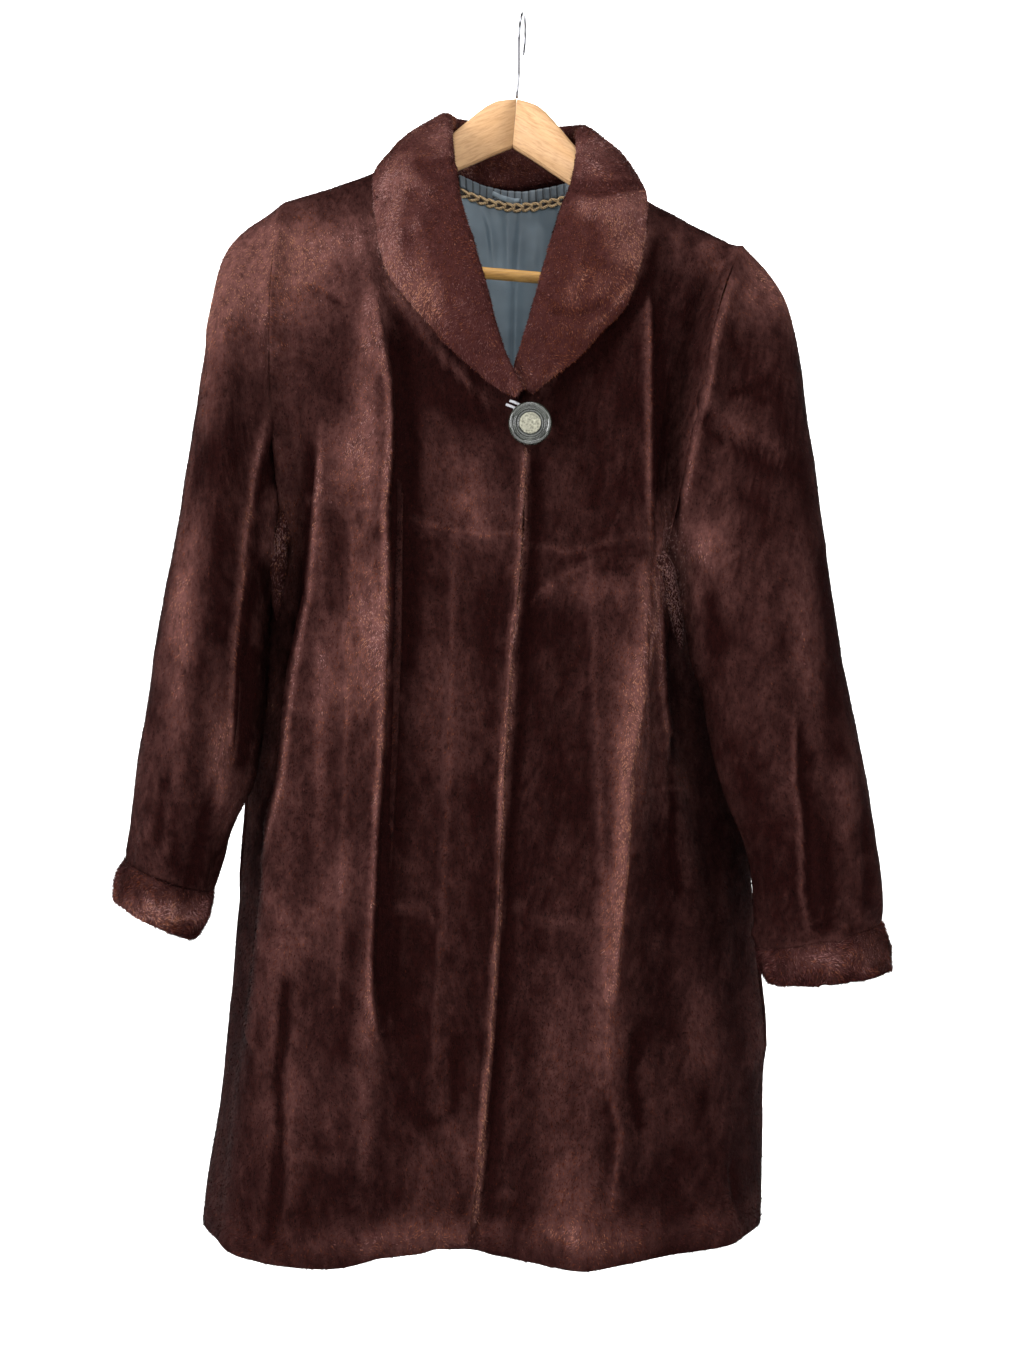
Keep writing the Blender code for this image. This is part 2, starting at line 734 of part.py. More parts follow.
def sleeve(side, table):
    """A sleeve from its armhole to its cuff, its folds and gathers pressed into the wall."""
    angles = np.arange(SLEEVE_SIDES) * 2 * math.pi / SLEEVE_SIDES
    seam = np.array([armhole_point(side, angle) for angle in angles])
    rows = np.array(table, float)
    stations = np.arange(len(rows))
    shares = np.linspace(0, 1, SLEEVE_RINGS)
    rings = [seam]
    for share in shares:
        at = share * stations[-1]
        row = [through(stations, rows[:, k], at) for k in range(rows.shape[1])]
        pressed = ring(row, angles)
        middle = pressed.mean(axis=0)
        inward = unit(middle - pressed)
        depth = np.zeros(len(angles))
        for angle, width, start, end, fold in SLEEVE_FOLDS[side]:
            away = (np.degrees(angles) - angle + 180) % 360 - 180
            within = np.clip((share - start) / 0.12, 0, 1) * np.clip((end - share) / 0.12, 0, 1)
            depth += fold * within * np.exp(-((away / width) ** 2))
        gathered = np.clip((share - 0.78) / 0.18, 0, 1) * np.clip((1 - share) / 0.06, 0, 1)
        depth += GATHER_DEPTH * gathered * np.cos(GATHERS * angles)
        rings.append(pressed + inward * depth[:, None])
    outer = np.array(rings)
    normals = turned_out(outer, facing(outer, around=True, passes=1), outer.mean(axis=(0, 1)))
    normals[0] = [-armhole_inward(side, angle) for angle in angles]
    normals[-1] = unit(outer[-1] - outer[-1].mean(axis=0))
    outer[0, :, 0] += -2 * SEAM if side == "right" else 2 * SEAM
    inner = outer - FUR * normals
    walled("sleeve_" + side, outer, inner, True, FUR_COLOUR, 0.8)


def cuff(side):
    """A fur band as wide as the gathered sleeve, swelling a little between its edges."""
    angles = np.arange(SLEEVE_SIDES) * 2 * math.pi / SLEEVE_SIDES
    top, bottom = (np.array(CUFFS[side][end], float) for end in ("top", "bottom"))
    rings = []
    for share in (0, 0.22, 0.55, 0.86, 1):
        swell = CUFF_SWELL * math.sin(math.pi * min(share, 0.9))
        rings.append(ring(top + (bottom - top) * share, angles, swell))
    outer = np.array(rings)
    inner = outer - FUR * unit(outer - outer.mean(axis=1, keepdims=True))
    walled("cuff_" + side, outer, inner, True, FUR_COLOUR, 0.85)


sleeve("right", SLEEVE_RIGHT)
sleeve("left", SLEEVE_LEFT)
cuff("right")
cuff("left")

# ---------------------------------------------------------------- the collar
rows = np.array(COLLAR, float)
stations = np.arange(len(rows))
along_collar = np.linspace(0, stations[-1], COLLAR_ROWS)
table = np.stack([through(stations, rows[:, k], along_collar) for k in range(9)], axis=1)
roll, edge = (table[:, k : k + 3] * (1, 1, -1) for k in (0, 3))
radius, stand, foot_reach = table[:, 6:7], table[:, 7:8], table[:, 8]
path = unit(np.gradient(roll, axis=0))
spread = edge - roll
spread = unit(spread - path * (spread * path).sum(axis=1, keepdims=True))
out = unit(np.cross(path, spread))
hub = roll + spread * radius
neckline = np.array([back_neck(reach) for reach in foot_reach])
inside = unit((NECK_CENTRE - neckline) * (1, 1, 0))
foot = neckline + inside * COLLAR_WALL + (0, 0, STAND_GAP)
short = hub - out * (radius - 0.6) + spread * SHORT_FOOT
foot = short + (foot - short) * stand
grid = []
for share in (0.0, 0.28, 0.56, 0.80):
    crown = COLLAR_CROWN * math.sin(math.pi * share**0.8) * np.minimum(1, radius / 8)
    grid.append(edge + (hub + out * radius - edge) * share + out * crown)
for angle in (85, 40, 0, -40, -80):
    turn = math.radians(angle)
    grid.append(hub + radius * (out * math.sin(turn) - spread * math.cos(turn)))
grid.append((grid[-1] + foot) / 2)
grid.append(foot)
outer = np.stack(grid, axis=1)
normals = facing(outer, passes=0)
centre_row = COLLAR_ROWS // 2
if (normals[3, 2] * out[3]).sum() < 0:
    normals = -normals
walled("collar", outer, outer - COLLAR_WALL * normals, False, FUR_COLOUR, 0.8)

# ---------------------------------------------------------------- the hanger
bm_arms = []
for side, sign in (("right", -1), ("left", 1)):
    profile = np.array(ARM_PROFILE, float)
    reaches = np.array([2, 10, 18, 26, 33, 42, 51, 65, 80, 98, 117, 145, 157, 163, 184, 191, 194.0])
    reaches[0] = 0.15
    tops = through(profile[:, 0], profile[:, 1], reaches)
    bottoms = through(profile[:, 0], profile[:, 2], reaches)
    tip = np.clip((reaches - 180) / 14, 0, 1)
    tops = tops + 9 * (1 - np.sqrt(1 - tip**2 * 0.98))
    bottoms = bottoms - 9 * (1 - np.sqrt(1 - tip**2 * 0.98))
    build = bmesh.new()
    loops = []
    half = ARM_THICKNESS / 2
    for reach, top, bottom in zip(reaches, tops, bottoms):
        section = (
            (0.2 * half, top),
            (0.62 * half, top + 1.4),
            (half, top + 5.5),
            (half, bottom - 3),
            (0.6 * half, bottom),
        )
        loop = []
        for depth, drop in section + tuple((-d, h) for d, h in section[::-1]):
            x, fallen = hung(sign * reach, drop)
            y = -SWEEP * reach + depth
            loop.append(build.verts.new((x * MM, y * MM, -fallen * MM)))
        loops.append(loop)
    for near, far in zip(loops, loops[1:]):
        for k in range(len(near)):
            n = (k + 1) % len(near)
            build.faces.new((near[k], near[n], far[n], far[k]))
    build.faces.new(loops[0])
    build.faces.new(loops[-1])
    bmesh.ops.recalc_face_normals(build, faces=build.faces)
    mesh = bpy.data.meshes.new("hanger_arm_" + side)
    build.to_mesh(mesh)
    build.free()
    finish("hanger_arm_" + side, mesh, WOOD_COLOUR, 0.45)


def rod(name, points, radius, colour, roughness, metallic=0.0, resolution=2):
    """A round rod or wire through the points, closed at its ends."""
    curve = bpy.data.curves.new(name, "CURVE")
    curve.dimensions = "3D"
    line = curve.splines.new("POLY")
    line.points.add(len(points) - 1)
    for point, place in zip(line.points, points):
        point.co = (*(np.asarray(place, float) * MM), 1.0)
    curve.bevel_depth = radius * MM
    curve.bevel_resolution = resolution
    curve.use_fill_caps = True
    return finish(name, curve, colour, roughness, metallic)


bar_depth = -SWEEP * (BAR_END + 8)
bar = []
for reach in (-BAR_END, BAR_END):
    x, fallen = hung(reach, BAR_DROP)
    bar.append((x, bar_depth, -fallen))
rod("trouser_bar", bar, BAR_RADIUS, (0.8, 0.5, 0.2), 0.4, resolution=3)

hook = []
for drop in (71.9, 62, 52):
    hook.append((0.0, drop))
centre_drop = HOOK_RADIUS
wire_turn = HOOK_RADIUS + WIRE_RADIUS
for degrees in range(222, -35, -12):
    turn = math.radians(degrees)
    hook.append((wire_turn * math.cos(turn), centre_drop - wire_turn * math.sin(turn)))
hook_line = []
for out_of_stem, drop in spline(hook, [1, 1, 4] + [1] * (len(hook) - 4)):
    x, fallen = hung(0.0, drop)
    hook_line.append(
        (x + out_of_stem * math.cos(HOOK_TURN), out_of_stem * math.sin(HOOK_TURN), -fallen)
    )
rod("hanger_hook", hook_line, WIRE_RADIUS, (0.5, 0.5, 0.52), 0.3, metallic=1.0)

# ---------------------------------------------------------------- inside the neck
back_grid = panels["back"]
back_inner = back_grid - FUR * outward["back"]


def inside_back(across, drop, clear):
    """A point just inside the back's wall, `clear` millimetres off it."""
    found = []
    for row in back_inner:
        k = np.clip(np.searchsorted(row[:, 0], across), 1, row.shape[0] - 1)
        t = (across - row[k - 1, 0]) / (row[k, 0] - row[k - 1, 0])
        found.append(row[k - 1] * (1 - t) + row[k] * t)
    found = np.array(found)
    depth = np.interp(drop, -found[:, 2], found[:, 1])
    return np.array([across, depth - clear, -drop])


def lining_clear(across, drop):
    """How far the satin stands off the fur: a soft pleat down the middle back."""
    pleat = math.exp(-(((across + 6) / 5.0) ** 2))
    slack = 1.2 * math.sin(across / 11.0 + drop / 40.0)
    return 1.8 + 2.2 * pleat + max(0.0, slack)


lining_x = np.linspace(-LINING_HALF_WIDTH - 8, LINING_HALF_WIDTH - 8, 19)
lining_drops = np.linspace(LINING_TOP, LINING_BOTTOM, 10)
outer = np.array(
    [[inside_back(x, d, lining_clear(x, d)) for x in lining_x] for d in lining_drops]
)
inner = outer - (0, LINING_WALL, 0)
walled("back_lining", outer, inner, False, SATIN_COLOUR, 0.35)

band_columns = np.linspace(-BAND_HALF_WIDTH, BAND_HALF_WIDTH, BAND_PLEATS * 3 + 1)
band = {"outer": [], "inner": []}
for drop in (LINING_TOP - 0.4 - BAND_HEIGHT, LINING_TOP - 0.4):
    plain, pleated = [], []
    for k, x in enumerate(band_columns):
        back_point = inside_back(x - 8, drop, 1.0)
        plain.append(back_point)
        pleated.append(back_point - (0, (1.6, 2.4, 3.6)[k % 3], 0))
    band["outer"].append(plain)
    band["inner"].append(pleated)
walled("neck_band", np.array(band["outer"]), np.array(band["inner"]), False, SATIN_COLOUR, 0.4)

braid_outer, braid_inner = [], []
for rise in (-0.5, -0.2, 0.2, 0.5):
    far, near = [], []
    for k in range(BRAID_LINKS * 3 + 1):
        x = -8 - BRAID_HALF_WIDTH + 2 * BRAID_HALF_WIDTH * k / (BRAID_LINKS * 3)
        swell = (0.0, 1.0, 0.55)[k % 3]
        tall = BRAID_HEIGHT * (0.8 + 0.2 * swell)
        drop = BRAID_DROP - rise * tall
        base = inside_back(x, drop, 0) - (0, lining_clear(x, drop) + LINING_WALL + 1.0, 0)
        far.append(base)
        near.append(base - (0, (1.2 + swell) * (1.7 - 2.4 * abs(rise)), 0))
    braid_outer.append(far)
    braid_inner.append(near)
walled("neck_braid", np.array(braid_outer), np.array(braid_inner), False, (0.5, 0.37, 0.2), 0.6)

loop_points = []
for t in np.linspace(0, 1, 9):
    x = -27 + 21 * t
    drop = 143.0 + 5.5 * t + 3.0 * math.sin(math.pi * t)
    loop_points.append(inside_back(x, drop, 0) - (0, 9.4 + 2.5 * math.sin(math.pi * t), 0))
rod("hang_loop", loop_points, 1.1, SATIN_COLOUR, 0.4)

# ---------------------------------------------------------------- button and its loop
left_grid = panels["front_left"]


def on_left_front(across, drop):
    """Depth of the left front's outer side at a place near its lap."""
    depths, drops = [], []
    for row in left_grid:
        order = np.argsort(row[:, 0])
        depths.append(np.interp(across, row[order, 0], row[order, 1]))
        drops.append(-np.interp(across, row[order, 0], row[order, 2]))
    return float(np.interp(drop, drops, depths))


sewn_depth = on_left_front(BUTTON_ACROSS, BUTTON_DROP) - 0.4
profile = [(0.0, 7.0)] + list(BUTTON_FACE)
profile += [(SHANK_RADIUS, 0.0), (SHANK_RADIUS, -BUTTON_PROUD), (0.0, -BUTTON_PROUD)]
mesh = bpy.data.meshes.new("button")
mesh.from_pydata(
    [(r * MM, 0, h * MM) for r, h in profile], [(k, k + 1) for k in range(len(profile) - 1)], []
)
button = finish("button", mesh, (0.16, 0.17, 0.15), 0.15, smooth=False)
turn = button.modifiers.new("turned", "SCREW")
turn.steps = turn.render_steps = 28
turn.use_merge_vertices = True
turn.merge_threshold = 0.00001
turn.use_normal_calculate = True
button.rotation_euler = (math.radians(90), 0, 0)
button.location = (
    BUTTON_ACROSS * MM,
    (sewn_depth - BUTTON_PROUD) * MM,
    -BUTTON_DROP * MM,
)

LOOP = (
    # across, drop, depth
    (-15, 350.5, -77.2),
    (-9, 353, -77.4),
    (-3, 357.5, -77.4),
    (-0.6, 362.6, -77.3),
    (-0.2, 369, -77.2),
    (4.5, 372.4, -77.2),
    (9.2, 369, -77.2),
    (9.6, 363.4, -77.2),
    (5.6, 358, -77.3),
    (0, 353.4, -77.4),
    (-6, 349.8, -77.4),
    (-12, 347.4, -77.2),
)
loop_path = spline([(x, y, -d) for x, d, y in LOOP], [2] * (len(LOOP) - 1))
rod("button_loop", loop_path, LOOP_RADIUS, (0.55, 0.56, 0.58), 0.5, resolution=1)
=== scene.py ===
"""A dark sheared fur coat on a wooden hanger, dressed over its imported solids."""

import math

import bmesh
import bpy
import numpy as np
from mathutils.bvhtree import BVHTree
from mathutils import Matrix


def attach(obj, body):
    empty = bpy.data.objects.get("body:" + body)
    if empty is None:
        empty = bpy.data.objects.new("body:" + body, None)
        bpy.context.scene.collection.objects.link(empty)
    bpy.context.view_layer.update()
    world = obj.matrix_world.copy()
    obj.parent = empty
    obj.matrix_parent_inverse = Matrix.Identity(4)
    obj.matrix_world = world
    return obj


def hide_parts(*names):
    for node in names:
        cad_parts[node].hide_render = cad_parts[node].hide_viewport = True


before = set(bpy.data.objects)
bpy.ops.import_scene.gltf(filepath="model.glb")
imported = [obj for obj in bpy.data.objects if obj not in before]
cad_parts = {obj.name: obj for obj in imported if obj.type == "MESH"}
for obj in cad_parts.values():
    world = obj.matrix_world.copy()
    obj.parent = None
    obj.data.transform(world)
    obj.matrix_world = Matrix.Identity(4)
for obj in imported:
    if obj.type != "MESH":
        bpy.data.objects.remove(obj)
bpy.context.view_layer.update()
coat_scene = bpy.context.scene


# ------------------------------------------------------------------ camera and studio
# The coat hangs in front of a plain pale sweep. The camera looks level at its middle from 1.5 m.
# Wide soft lamps on both sides bring out the nap, and one lights only the sweep.
CAMERA_PLACE = (-0.0104, -1.5, -0.580)
HALF_VIEW = math.radians(21.6)


def hang_camera():
    lens = bpy.data.cameras.new("camera")
    lens.sensor_fit = "VERTICAL"
    lens.sensor_height = 24.0
    lens.lens = 0.5 * lens.sensor_height / math.tan(HALF_VIEW)
    camera = bpy.data.objects.new("camera", lens)
    camera.location = CAMERA_PLACE
    camera.rotation_euler = (math.radians(90), 0, 0)
    coat_scene.collection.objects.link(camera)
    coat_scene.camera = camera


def soft_lamp(name, place, target, size, power):
    lamp = bpy.data.lights.new(name, "AREA")
    lamp.shape = "RECTANGLE"
    lamp.size, lamp.size_y = size
    lamp.energy = power
    holder = bpy.data.objects.new(name, lamp)
    holder.location = place
    away = np.array(place) - np.array(target)
    turn = math.atan2(away[0], -away[1])
    rise = math.atan2(away[2], math.hypot(away[0], away[1]))
    holder.rotation_euler = (math.radians(90) - rise, 0, turn)
    coat_scene.collection.objects.link(holder)
    return holder


def lay_sweep():
    """A floor that curves up into a wall, so that no corner shows."""
    floor, start, bend, top, half_wide = -1.45, 1.3, 1.2, 4.0, 7.0
    profile = [(-4.0, floor), (start, floor)]
    for degrees in range(10, 91, 10):
        turn = math.radians(degrees)
        profile.append((start + bend * math.sin(turn), floor + bend - bend * math.cos(turn)))
    profile.append((start + bend, top))
    corners = [(x, y, z) for y, z in profile for x in (-half_wide, half_wide)]
    strips = [(k, k + 1, k + 3, k + 2) for k in range(0, len(corners) - 2, 2)]
    mesh = bpy.data.meshes.new("sweep")
    mesh.from_pydata(corners, [], strips)
    mesh.shade_smooth()
    sweep = bpy.data.objects.new("sweep", mesh)
    coat_scene.collection.objects.link(sweep)
    paper = bpy.data.materials.new("sweep_paper")
    paper.use_nodes = True
    shader = paper.node_tree.nodes["Principled BSDF"]
    shader.inputs["Base Color"].default_value = (0.92, 0.92, 0.92, 1)
    shader.inputs["Roughness"].default_value = 0.95
    mesh.materials.append(paper)
    return sweep


hang_camera()
paper_sweep = lay_sweep()
soft_lamp("window_left", (-2.3, -1.5, 0.35), (0, 0, -0.55), (1.0, 1.7), 92)
soft_lamp("window_right", (2.2, -1.8, 0.3), (0, 0, -0.55), (1.2, 1.8), 34)
soft_lamp("front_fill", (0.15, -2.4, 0.05), (0, 0, -0.4), (1.2, 1.2), 20)
soft_lamp("ceiling", (-0.2, -0.8, 1.9), (0, 0, -0.5), (1.8, 1.2), 44)
wall_wash = soft_lamp("wall_wash", (0.0, 0.9, 1.6), (0, 2.4, -0.3), (4.0, 1.0), 230)
washed = bpy.data.collections.new("washed")
washed.objects.link(paper_sweep)
wall_wash.light_linking.receiver_collection = washed
daylight = bpy.data.worlds.new("daylight")
daylight.use_nodes = True
daylight.node_tree.nodes["Background"].inputs["Color"].default_value = (1, 1, 1, 1)
daylight.node_tree.nodes["Background"].inputs["Strength"].default_value = 0.10
coat_scene.world = daylight
coat_scene.view_settings.view_transform = "Standard"


# ------------------------------------------------------------------ the fur panels
# Two fronts and a back of dense sheared fur, pieced from pelts whose joins show as faint
# level lines. Each panel is one skin with its pile, soft enough to fall in broad folds.
class Wire:
    """An output in a material's node tree. Sums with it add the Math nodes that do them."""

    def __init__(self, tree, socket):
        self.tree = tree
        self.socket = socket

    def sum(self, operation, first, second):
        node = self.tree.nodes.new("ShaderNodeMath")
        node.operation = operation
        for place, value in zip(node.inputs, (first, second)):
            if isinstance(value, Wire):
                self.tree.links.new(value.socket, place)
            else:
                place.default_value = value
        return Wire(self.tree, node.outputs[0])

    def __add__(self, other):
        return self.sum("ADD", self, other)

    def __radd__(self, other):
        return self.sum("ADD", other, self)

    def __sub__(self, other):
        return self.sum("SUBTRACT", self, other)

    def __rsub__(self, other):
        return self.sum("SUBTRACT", other, self)

    def __mul__(self, other):
        return self.sum("MULTIPLY", self, other)

    def __rmul__(self, other):
        return self.sum("MULTIPLY", other, self)


class Finish:
    """One material, with its shader's plain values set and its other nodes added by name."""

    def __init__(self, name, **plain):
        self.material = bpy.data.materials.new(name)
        self.material.use_nodes = True
        self.tree = self.material.node_tree
        self.shader = self.tree.nodes["Principled BSDF"]
        for words, value in plain.items():
            self.set_socket(self.shader.inputs[words.replace("_", " ")], value)

    def set_socket(self, place, value):
        if isinstance(value, Wire):
            self.tree.links.new(value.socket, place)
        elif isinstance(value, tuple) and len(value) == 3 and place.type == "RGBA":
            place.default_value = (*value, 1.0)
        else:
            place.default_value = value

    def node(self, kind, settings=None, output=0, **sockets):
        """A node of that kind: its settings first, then its sockets, by number or by name."""
        made = self.tree.nodes.new("ShaderNode" + kind)
        for words, value in (settings or {}).items():
            if words == "stops":
                ramp = made.color_ramp
                while len(ramp.elements) < len(value):
                    ramp.elements.new(1.0)
                for stop, (place, colour) in zip(ramp.elements, value):
                    stop.position = place
                    stop.color = (*colour, 1.0)
            else:
                setattr(made, words, value)
        for words, value in sockets.items():
            key = int(words[1:]) if words[0] == "n" and words[1:].isdigit() else words
            place = made.inputs[key if isinstance(key, int) else key.replace("_", " ")]
            self.set_socket(place, value)
        return Wire(self.tree, made.outputs[output])

    def shade(self, words, wire):
        self.tree.links.new(wire.socket, self.shader.inputs[words])

    def blend(self, amount, first, second):
        """A colour between two, by an amount from 0 to 1."""
        return self.node(
            "Mix", {"data_type": "RGBA"}, output=2, n0=amount, n6=first, n7=second
        )


def lattice(points, size, seed):
    """Smooth noise from -1 to 1 with lumps of about `size` metres."""
    table = np.random.default_rng(seed).uniform(-1, 1, (32, 32, 32))
    scaled = points / size + 200.0
    cell = np.floor(scaled).astype(int)
    t = scaled - cell
    t = t * t * (3 - 2 * t)
    found = np.zeros(len(points))
    for corner in range(8):
        step = np.array([corner & 1, corner >> 1 & 1, corner >> 2 & 1])
        weight = np.prod(np.where(step, t, 1 - t), axis=1)
        i, j, k = ((cell + step) % 32).T
        found += weight * table[i, j, k]
    return found


def along_stroke(points, stroke):
    """Distance in mm, seen from the front, from each point to a stroke of (x, z) in mm.

    It is below zero on the stroke's left as it goes down, and above zero on its right.
    """
    flat = points[:, (0, 2)] * 1000
    path = np.array(stroke, float)
    nearest = np.full(len(flat), 1e4)
    for a, b in zip(path, path[1:]):
        share = np.clip(((flat - a) @ (b - a)) / ((b - a) @ (b - a)), 0, 1)
        away = flat - a - share[:, None] * (b - a)
        far = np.linalg.norm(away, axis=1)
        left = away @ np.array([b[1] - a[1], a[0] - b[0]]) > 0
        nearest = np.where(far < np.abs(nearest), np.where(left, -far, far), nearest)
    return nearest


# What a form does: "groove" sinks and "ridge" rises on both sides of its line. "right" and "left"
# rise to a crest along the line and fall sharply away on that side, as a pleat does.
FRONT_FORMS = (
    # what it is, front -1 or back 1, kind, width, height or depth (mm), its line (x, z in mm)
    ("main pleat", -1, "right", 15, 5.5,
     ((-123, -266), (-118, -299), (-111, -339), (-110, -365), (-111, -392), (-114, -435),
      (-113, -487), (-115, -539), (-116, -627), (-119, -671), (-123, -758), (-125, -801),
      (-125, -836), (-120, -871))),
    ("slanting upper fold", -1, "ridge", 9, 2.4, ((-127, -262), (-140, -313), (-149, -380))),
    ("outer pleat", -1, "left", 13, 6.0,
     ((-172, -370), (-172, -403), (-175, -436), (-180, -503), (-193, -570), (-200, -623),
      (-202, -655), (-213, -695), (-223, -730))),
    ("slant below it", -1, "ridge", 6, 2.4, ((-222, -729), (-213, -759), (-186, -791))),
    ("chest crease", -1, "groove", 4, 2.6, ((-180, -248), (-166, -256), (-152, -263))),
    ("crease by it", -1, "ridge", 5, 1.6, ((-180, -243), (-166, -250), (-150, -257))),
    ("chest swell", -1, "ridge", 11, 2.2, ((-80, -360), (-76, -451))),
    ("chest edge", -1, "right", 9, 2.4, ((-49, -316), (-40, -360))),
    ("slanting light crease", -1, "left", 8, 2.4,
     ((62, -473), (38, -487), (12, -504), (-3, -522))),
    ("upper left ridge", -1, "right", 12, 4.6,
     ((105, -253), (105, -311), (105, -379), (104, -450))),
    ("lower left ridge", -1, "right", 15, 5.5,
     ((100, -545), (95, -594), (86, -654), (82, -737), (78, -781), (73, -841))),
    ("side pleat", -1, "right", 9, 5.5, ((112, -503), (116, -544), (120, -593), (126, -645))),
    ("fine side groove", -1, "groove", 3.5, 3.0, ((126, -628), (126, -718), (131, -758))),
    ("soft side ridge", -1, "ridge", 8, 2.0, ((172, -748), (177, -829))),
    ("groove above the hem", -1, "groove", 4, 3.6, ((91, -871), (88, -910), (95, -945))),
    ("ridge beside it", -1, "ridge", 6, 2.0, ((103, -883), (105, -924), (103, -973))),
    ("short pleat above the hem", -1, "left", 9, 3.0, ((67, -905), (77, -948), (68, -1018))),
    ("slanting ridge", -1, "ridge", 5, 1.6, ((30, -892), (68, -875))),
    ("groove by the front edge", -1, "groove", 5, 3.0, ((-53, -871), (-57, -932), (-83, -949))),
    ("right hem groove", -1, "groove", 5, 4.4,
     ((-198, -832), (-200, -876), (-204, -911), (-202, -947), (-204, -1009), (-211, -1040))),
    ("ridge beside it", -1, "ridge", 7, 2.2, ((-190, -850), (-192, -930), (-190, -1000))),
    ("slanting pleat", -1, "left", 10, 2.8, ((-243, -867), (-207, -907))),
    ("hem's edge groove", -1, "groove", 4, 3.0, ((178, -991), (180, -1018))),
    ("dent under the collar", -1, "groove", 9, 2.6, ((-104, -300), (-80, -338), (-40, -362))),
    ("dent by the right pleat", -1, "groove", 12, 2.0, ((-98, -300), (-96, -420), (-98, -560))),
    ("left side swell", -1, "ridge", 16, 4.5, ((206, -790), (209, -900))),
    ("right side swell", -1, "ridge", 16, 4.0, ((-246, -660), (-253, -750))),
    ("nub in the front edge", -1, "ridge", 4, 3.0, ((-8, -520), (-11, -538))),
)
BACK_FORMS = (
    ("right pleat", 1, "left", 17, 3.6,
     ((-136, -300), (-130, -400), (-140, -560), (-154, -720), (-160, -840))),
    ("left pleat", 1, "right", 17, 3.6,
     ((110, -290), (92, -420), (98, -560), (108, -720), (112, -860))),
    ("waist crease", 1, "groove", 6, 2.6, ((-120, -560), (-80, -590), (-44, -600))),
    ("dent under the collar", 1, "groove", 12, 2.6, ((-70, -210), (-20, -226), (40, -212))),
    ("shoulder dent", 1, "groove", 10, 2.6, ((84, -200), (96, -270), (84, -350))),
    ("hip groove", 1, "groove", 8, 2.6, ((60, -640), (76, -760), (70, -860))),
    ("ridge beside it", 1, "ridge", 11, 1.6, ((72, -650), (88, -760), (84, -860))),
    ("right hem groove", 1, "groove", 7, 2.6, ((-140, -860), (-150, -950), (-138, -1030))),
    ("slanting ridge", 1, "ridge", 6, 2.0, ((10, -720), (40, -738), (66, -742))),
    ("short pleat above the hem", 1, "right", 9, 3.0, ((-40, -900), (-34, -960), (-40, -1020))),
    ("middle crease", 1, "groove", 7, 2.4, ((-8, -330), (-14, -440), (-12, -540))),
    ("left side swell", 1, "ridge", 16, 4.5, ((206, -790), (209, -900))),
    ("right side swell", 1, "ridge", 16, 4.0, ((-246, -660), (-253, -750))),
)
PELT_JOINS = (
    # front -1 or back 1, the join's line (x, z in mm)
    (-1, ((-178, -431), (-114, -438), (-93, -450), (-65, -456), (-38, -461), (-3, -461))),
    (-1, ((1, -473), (22, -472), (34, -477), (60, -470), (81, -465), (100, -463), (122, -469))),
    (-1, ((-200, -605), (-176, -607), (-151, -613))),
    (-1, ((-121, -764), (-105, -769), (-82, -772))),
    (-1, ((-19, -764), (5, -776), (26, -781), (47, -785))),
    (-1, ((92, -674), (136, -675))),
    (-1, ((-148, -439), (-150, -540), (-153, -660), (-158, -840))),
    (-1, ((-62, -456), (-66, -600), (-72, -780), (-80, -900))),
    (-1, ((50, -476), (54, -600), (60, -760), (64, -900))),
    (-1, ((98, -236), (96, -330), (100, -463))),
    (1, ((-190, -440), (-120, -448), (-40, -444), (40, -450), (120, -446))),
    (1, ((-230, -742), (-150, -750), (-60, -744), (30, -752), (150, -746))),
    (1, ((-8, -180), (-14, -440), (-20, -740), (-26, -1040))),
    (1, ((-96, -190), (-104, -440), (-118, -740), (-128, -1040))),
    (1, ((76, -190), (72, -440), (80, -740), (96, -1040))),
)
PELT_COLOUR = (0.0170, 0.0036, 0.0030)
PELT_DARK = (0.0040, 0.0010, 0.0010)
# The pink of the painted sheen on the fur's tips.
PELT_PAINTED_SHEEN = (0.150, 0.062, 0.054)


def sheared_fur(name, painted_sheen_amount, dark=PELT_DARK, colour=PELT_COLOUR):
    """Dense cut fur: darker between the hairs, partly its own tone and partly painted shade, and pink where
    the tone and painted light attribute is high, partly its own tone and partly painted sheen.
    """
    fur = Finish(name, Roughness=0.9, Specular_IOR_Level=0.02)
    place = fur.node("TexCoord", output=3)
    combed = fur.node("Mapping", n0=place, n3=(1.0, 1.0, 0.70))
    hairs = fur.node("TexNoise", {"noise_dimensions": "3D"}, n0=combed, Scale=620.0, Detail=2.0)
    tufts = fur.node("TexNoise", n0=combed, Scale=190.0, Detail=3.0, Roughness=0.65)
    strips = fur.node("TexNoise", n0=combed, Scale=26.0, Detail=2.0)
    nap = fur.node("Attribute", {"attribute_name": "nap"}, output=2)
    # Darker where the bump sinks between hairs and tufts: partly the fur's own tone, partly painted shade.
    lightness = (hairs * 0.6 + tufts * 1.0 + strips * 0.25 - 0.45) * 0.9
    deep = fur.blend(lightness, dark, colour)
    # Painted sheen: pink blended onto the tips where the attribute of tone and painted light is high.
    painted_sheen = nap * painted_sheen_amount * (tufts * 1.6 - 0.1)
    fur.shade("Base Color", fur.blend(painted_sheen, deep, PELT_PAINTED_SHEEN))
    pile = hairs * 0.45 + tufts
    fur.shade("Normal", fur.node("Bump", Strength=0.7, Distance=0.0022, Height=pile))
    return fur.material


def satin(name, colour, deep):
    """Smooth lining satin with faint crosswise threads."""
    cloth = Finish(name, Roughness=0.38, Sheen_Weight=0.3, Anisotropic=0.4)
    place = cloth.node("TexCoord", output=3)
    cloudy = cloth.node("TexNoise", n0=place, Scale=18.0, Detail=3.0)
    threads = cloth.node("TexWave", {"bands_direction": "Z"}, n0=place, Scale=900.0)
    cloth.shade("Base Color", cloth.blend(cloudy * 2.0 - 0.45, deep, colour))
    cloth.shade("Normal", cloth.node("Bump", Strength=0.15, Distance=0.0004, Height=threads))
    return cloth.material


